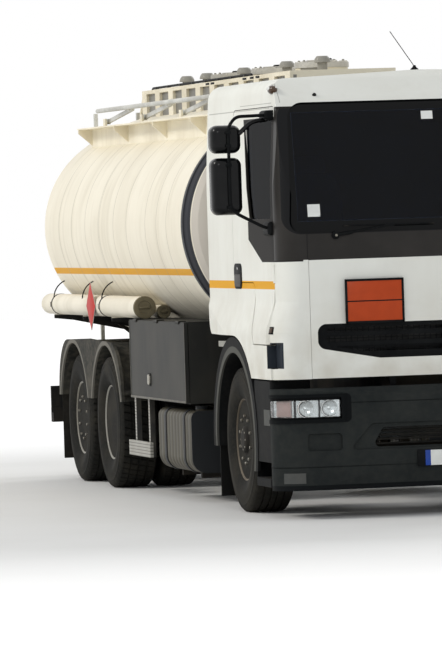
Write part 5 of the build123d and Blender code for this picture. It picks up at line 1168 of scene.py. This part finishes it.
def bumper_trim():
    """Grey covers low on the bumper's ends and on the steps' sides, and fine slats in the air intake."""
    face = caster("front_bumper")
    step = caster("step_mudguards")
    p = Piece("bumper_trim", RUBBER, FLAP_GREY)
    for side, _ in SIDES:
        starts = [(x, AHEAD, 0.285) for x in spread(side * 1.030, side * 1.165, 7)]
        laid(p, face, starts, BACKWARDS, slab(0.036, 0.005), UP, 1)
        starts = [(side * 1.9, y, 0.700) for y in spread(-1.150, -0.960, 6)]
        laid(p, step, starts, (-side, 0, 0), slab(0.055, 0.006), UP, 1)
    for k in range(4):
        z = 0.505 + 0.030 * k
        half = 0.548 - 0.6 * (z - 0.485)
        p.box((-half, half), (-1.372, -1.352), about(z, 0.006), 0, 0.002)
    p.finish("chassis")


def step_treads():
    """Ribbed treads on the lowest steps and on the ledge of each foot hold."""
    low = Piece("lower_step_treads", RUBBER)
    ledge = Piece("foot_hold_treads", RUBBER)
    for side, _ in SIDES:
        for k in range(5):
            x = side * (1.200 - 0.030 * k)
            low.box(about(x, 0.008), (-1.100, -0.760), (0.2755, 0.2815), 0, 0.002)
        for k in range(2):
            x = side * (1.172 + 0.022 * k)
            ledge.box(about(x, 0.006), (-1.240, -1.150), (1.0395, 1.0440), 0, 0.0015)
    low.finish("chassis")
    ledge.finish("cab")


def grille_mesh():
    """Fine dark mesh behind the bars of the grille."""
    p = Piece("grille_mesh", BLACK)
    y = caster("grille")((0.0, AHEAD, 1.335), BACKWARDS)[0].y + 0.030
    for k in range(44):
        x = -0.86 + 0.04 * k
        lift = 0.075 * max(0.0, (abs(x) - 0.62) / 0.27)
        p.box(about(x, 0.0025), (y, y + 0.004), (1.105 + lift, 1.332), 0, 0.0)
    for k in range(8):
        z = 1.125 + 0.028 * k
        half = 0.86 - 0.20 * max(0.0, (1.180 - z) / 0.075)
        p.box((-half, half), (y + 0.003, y + 0.007), about(z, 0.0025), 0, 0.0)
    p.finish("hatch")


# Chassis and tank


def tail_lamps():
    """Rear lamps on the underrun bar: a black housing with amber, red and clear chambers."""
    p = Piece("tail_lamps", BLACK, LENS_RED, LENS_AMBER, PLATE)
    outer = 1.170
    width = 0.310
    heights = (0.600, 0.720)
    dome = ((7.374, 0.006), (7.384, 0.006), (7.388, 0.010), (7.3895, 0.020))
    for side, _ in SIDES:
        housing = (side * outer, side * (outer - width))
        p.stack(housing, heights, 0.015, ((7.340, 0.0), (7.372, 0.0), (7.376, 0.004)))
        for start, end, slot in ((0.0, 0.36, 2), (0.36, 0.76, 1), (0.76, 1.0, 3)):
            chamber = (side * (outer - width * start), side * (outer - width * end))
            p.stack(chamber, heights, 0.014, dome, "y", slot)
    p.finish("chassis", ["lamps"])


def placard():
    """The blank red diamond on its holder, in front of the right hose tube."""
    p = Piece("placard_diamond", RED, ALU)
    turn = Matrix.Rotation(math.radians(45), 3, "X")
    y = 5.12
    z = 1.425
    for half, x0, x1, slot in ((0.138, -1.2500, -1.2455, 1), (0.130, -1.2515, -1.2490, 0)):
        p.box((x0, x1), about(y, half), about(z, half), slot, 0.001, turn)
    p.box((-1.247, -1.225), about(y, 0.03), about(z, 0.05), 1, 0.002)
    p.finish("chassis")


def hose_fittings():
    """Straps with their buckles round the hose tubes, the grips on their front caps, and the hangers."""
    p = Piece("hose_tube_straps", BLACK, CAP, BOLT)
    strap = ((-0.020, -0.0005), (-0.018, 0.0025), (0.018, 0.0025), (0.020, -0.0005))
    # Each hanger is a quarter circle of wire over the outer tube
    wire_x = 1.070
    wire_z = 1.475
    bend = 0.152
    turns = [math.radians(a) for a in range(0, 100, 10)]
    for side, _ in SIDES:
        for out, z, radius, front in HOSE_TUBES:
            x = side * out
            for y in STRAPS:
                p.lathe([(along, radius + lift) for along, lift in strap], (x, y, z), "y", 0, 40)
            cap = (
                (0.012, radius + 0.003), (-0.012, radius + 0.003), (-0.016, radius - 0.001),
                (-0.016, radius * 0.62), (-0.010, radius * 0.58), (-0.010, 0.0),
            )
            p.lathe(cap, (x, front, z), "y", 1, 40)
            p.box(about(x, radius * 0.5), (front - 0.026, front - 0.009), about(z, 0.008), 1, 0.003)
        for y in STRAPS:
            p.box((side * 1.240, side * 1.254), about(y, 0.014), (1.405, 1.445), 2, 0.002)
        for y in (4.80, 5.62, 6.87):
            hanger = [(side * (wire_x + bend * math.cos(a)), y, wire_z + bend * math.sin(a)) for a in turns]
            p.tube(hanger, 0.005, 0, 8)
    p.finish("chassis")


def locker_fittings():
    """Paddle handle, edge profiles and drip strip on the locker's flap."""
    p = Piece("locker_door_trim", ALU, BLACK, EDGE)
    x = LOCKER_FACE
    p.stack((2.862, 2.958), (0.835, 0.935), 0.020, ((x - 0.004, 0.0), (x + 0.001, 0.0)), "x", 1, 4)
    paddle = ((x - 0.0145, 0.004), (x - 0.0125, 0.0), (x - 0.003, 0.0))
    p.stack((2.876, 2.944), (0.846, 0.924), 0.020, paddle, "x", 0, 6)
    p.lathe(((0, 0.009), (0.016, 0.009), (0.018, 0.006)), (x, 2.91, 0.885), "x", 0, 16, -1)
    for y in (1.5765, 3.6365):
        p.box((x - 0.004, x + 0.001), (y, y + 0.007), (0.740, 1.322), 2, 0.001)
    p.box((x - 0.006, x + 0.001), (1.578, 3.642), (0.736, 0.752), 2, 0.002)
    p.finish("pump_locker_door")


def lid_fittings():
    """The rim, lever clamps and inspection cap on each manhole lid."""
    rim = ((-0.001, 0.203), (0.005, 0.203), (0.006, 0.196), (0.003, 0.190), (-0.001, 0.190))
    cap = ((-0.002, 0.055), (0.009, 0.055), (0.013, 0.048), (0.013, 0.012))
    z = LID_Z
    clamp_circle = 0.168
    for number, y in enumerate(LIDS, 1):
        p = Piece("manhole_fittings_%d" % number, ALU, BOLT, BLACK)
        p.lathe(rim, (0, y, z), "z", 0, 64)
        for k in range(5):
            angle = math.radians(165 + 42 * k)
            at_x = clamp_circle * math.cos(angle)
            at_y = y + clamp_circle * math.sin(angle)
            turn = Matrix.Rotation(angle, 3, "Z")
            p.box(about(at_x, 0.030), about(at_y, 0.011), (z - 0.002, z + 0.014), 0, 0.003, turn)
            p.lathe(((0, 0.010), (0.020, 0.010), (0.024, 0.006)), (at_x, at_y, z), "z", 1, 12)
        p.lathe(cap, (0.02, y - 0.02, z + 0.022), "z", 2, 32)
        p.finish("lid_%d" % number)


def box_fittings():
    """Drain slots in the housing's side, and the vapour pipe clipped along its top edge."""
    p = Piece("top_box_fittings", BLACK, DARK)
    for side, _ in SIDES:
        for y in (2.57, 2.77, 3.03, 4.20, 4.39):
            p.box((side * 0.4005, side * 0.396), about(y, 0.07), (3.136, 3.154), 0, 0.001)
    ends = ((2.81, 3.150), (2.84, 3.173), (4.7, 3.173), (6.60, 3.173), (6.64, 3.150))
    p.tube(arc([(-0.385, y, z) for y, z in ends], 0.02, 4), 0.010, 0, 10)
    for y in spread(3.05, 6.45, 8):
        p.box((-0.400, -0.370), about(y, 0.012), (3.158, 3.178), 1, 0.003)
    p.finish("chassis")


def rear_flaps():
    """Black rubber flaps hung behind the last axle on bars."""
    p = Piece("rear_mudflaps", RUBBER, CHASSIS, BOLT)
    inner = 0.640
    outer = 1.225
    # Where the flaps' front and rear faces lie
    front = 6.612
    rear = 6.620
    for side, _ in SIDES:
        p.box((side * inner, side * outer), (front, rear), (0.165, 0.775))
        p.box((side * 0.425, side * 1.230), (rear, rear + 0.030), (0.740, 0.780), 1, 0.003)
        for k in range(5):
            p.bolt((side * (0.70 + 0.12 * k), front, 0.760), "y", 0.011, 0.006, 2, -1)
        for z in (0.30, 0.36, 0.42):
            ridge = (side * (inner + 0.03), side * (outer - 0.03))
            p.box(ridge, (front - 0.0025, front + 0.001), about(z, 0.008), 0, 0.001)
    p.finish("chassis")


# The CAD nodes in their materials

NODE_MATERIALS = (
    (CHASSIS, "chassis_frame front_axle drive_axle tag_axle rear_suspension propshaft tank_cradle "
              "rear_bumper tow_coupling tie_rod knuckle_right knuckle_left"),
    (WHITE, "cab_shell front_hatch door_right door_left"),
    (BLACK, "steering_wheel wipers grille"),
    (STEEL, "rear_ladder handrail handrail_post_1 handrail_post_2 handrail_post_3"),
    (ALU, "manhole_lid_1 manhole_lid_2 manhole_lid_3"),
    (WINDOW, "door_glass_right door_glass_left"),
    (CASE, "mirrors_right mirrors_left"),
    (LOCKER, "locker locker_door"),
    (ENGINE, "engine"),
    (BUMPER, "front_bumper"),
    (LENS, "lamps"),
    (STEP, "step_mudguards"),
    (GUARD, "rear_mudguards"),
    (CREAM, "tank_shell"),
    (COAMING, "top_coaming"),
    (BOX, "top_box"),
    (TUBES, "hose_tubes"),
    (FUEL, "fuel_tank"),
    (BOARD, "side_guards"),
    (SCREEN, "windscreen"),
    (DARK, "cab_front_trim"),
    (LINING, "dashboard"),
    (CLOTH, "seats"),
)
for material, names in NODE_MATERIALS:
    for node in names.split():
        if not NODES[node].data.materials:
            NODES[node].data.materials.append(material)
        for slot in NODES[node].material_slots:
            slot.material = material

BUILDERS = (
    build_wheels, plates, placard, roof_fittings, corner_repeaters, screen_labels, bumper_trim, step_treads,
    grille_mesh, hose_fittings, locker_fittings, box_fittings, rear_flaps, lid_fittings, wipers, headlamps,
    tail_lamps, seats,
)
for build in BUILDERS:
    build()
for side, name in SIDES:
    mirrors(side, name)
    door_trim(side, name)

# Floor, light and camera


def stage_floor():
    """A pale floor that fades into the white backdrop far from the truck."""
    mesh = bpy.data.meshes.new("floor")
    mesh.from_pydata([(-80, -80, 0), (80, -80, 0), (80, 80, 0), (-80, 80, 0)], [], [[0, 1, 2, 3]])
    floor = show("floor", mesh)
    s = Shader("floor_pale", (226, 225, 222), 0.7)
    s.vary(0.6, (218, 217, 213), 0.4)
    far = s.level(s.vector("LENGTH", s.coord), 7.0, 13.0)
    s.set("Emission Strength", far)
    s.set("Emission Color", (1, 1, 1, 1))
    s.over(far, (0, 0, 0))
    mesh.materials.append(s.done())


def studio_world():
    """Pale blue light from all round; the camera, reflections and glass see plain white."""
    world = bpy.data.worlds.new("studio")
    bpy.context.scene.world = world
    world.use_nodes = True
    nodes = world.node_tree.nodes
    links = world.node_tree.links
    sky = nodes["Background"]
    fill(sky, Color=(0.80, 0.84, 0.90, 1), Strength=0.62)
    white = nodes.new("ShaderNodeBackground")
    fill(white, Color=(1, 1, 1, 1), Strength=1.0)
    path = nodes.new("ShaderNodeLightPath")
    seen = path.outputs["Is Camera Ray"]
    for ray in ("Is Glossy Ray", "Is Transmission Ray"):
        either = nodes.new("ShaderNodeMath")
        either.operation = "MAXIMUM"
        links.new(seen, either.inputs[0])
        links.new(path.outputs[ray], either.inputs[1])
        seen = either.outputs[0]
    mix = nodes.new("ShaderNodeMixShader")
    links.new(seen, mix.inputs[0])
    links.new(sky.outputs[0], mix.inputs[1])
    links.new(white.outputs[0], mix.inputs[2])
    links.new(mix.outputs[0], nodes["World Output"].inputs["Surface"])


def lamp(name, place, size, power, color=(1, 1, 1)):
    """A round area light that shines at the truck's middle."""
    data = bpy.data.lights.new(name, "AREA")
    data.shape = "DISK"
    data.size = size
    data.energy = power
    data.color = color
    obj = show(name, data)
    obj.location = place
    obj.rotation_euler = (Vector((0, 0, 1.5)) - Vector(place)).to_track_quat("-Z", "Y").to_euler()


def camera():
    """The photograph's camera: a long lens far off the truck's front right."""
    place = (-9.931, -43.329, 2.098)
    yaw = -12.08
    pitch = -1.11
    roll = -1.86
    data = bpy.data.cameras.new("camera")
    data.lens = 317.7
    data.sensor_width = 36.0
    data.clip_end = 300.0
    obj = show("camera", data)
    obj.matrix_world = Matrix.Translation(place)
    # A camera looks down at rest, so a level one is turned up by 90 degrees
    for angle, axis in ((yaw, "Z"), (90 + pitch, "X"), (roll, "Z")):
        obj.matrix_world = obj.matrix_world @ Matrix.Rotation(math.radians(angle), 4, axis)
    bpy.context.scene.camera = obj


stage_floor()
studio_world()
lamp("key", (-26, 2, 22), 10.0, 4900, (1.0, 0.97, 0.92))
lamp("fill", (-6, -30, 14), 12.0, 1350)
lamp("back", (20, 18, 18), 12.0, 3000)
camera()
bpy.context.scene.view_settings.view_transform = "Standard"
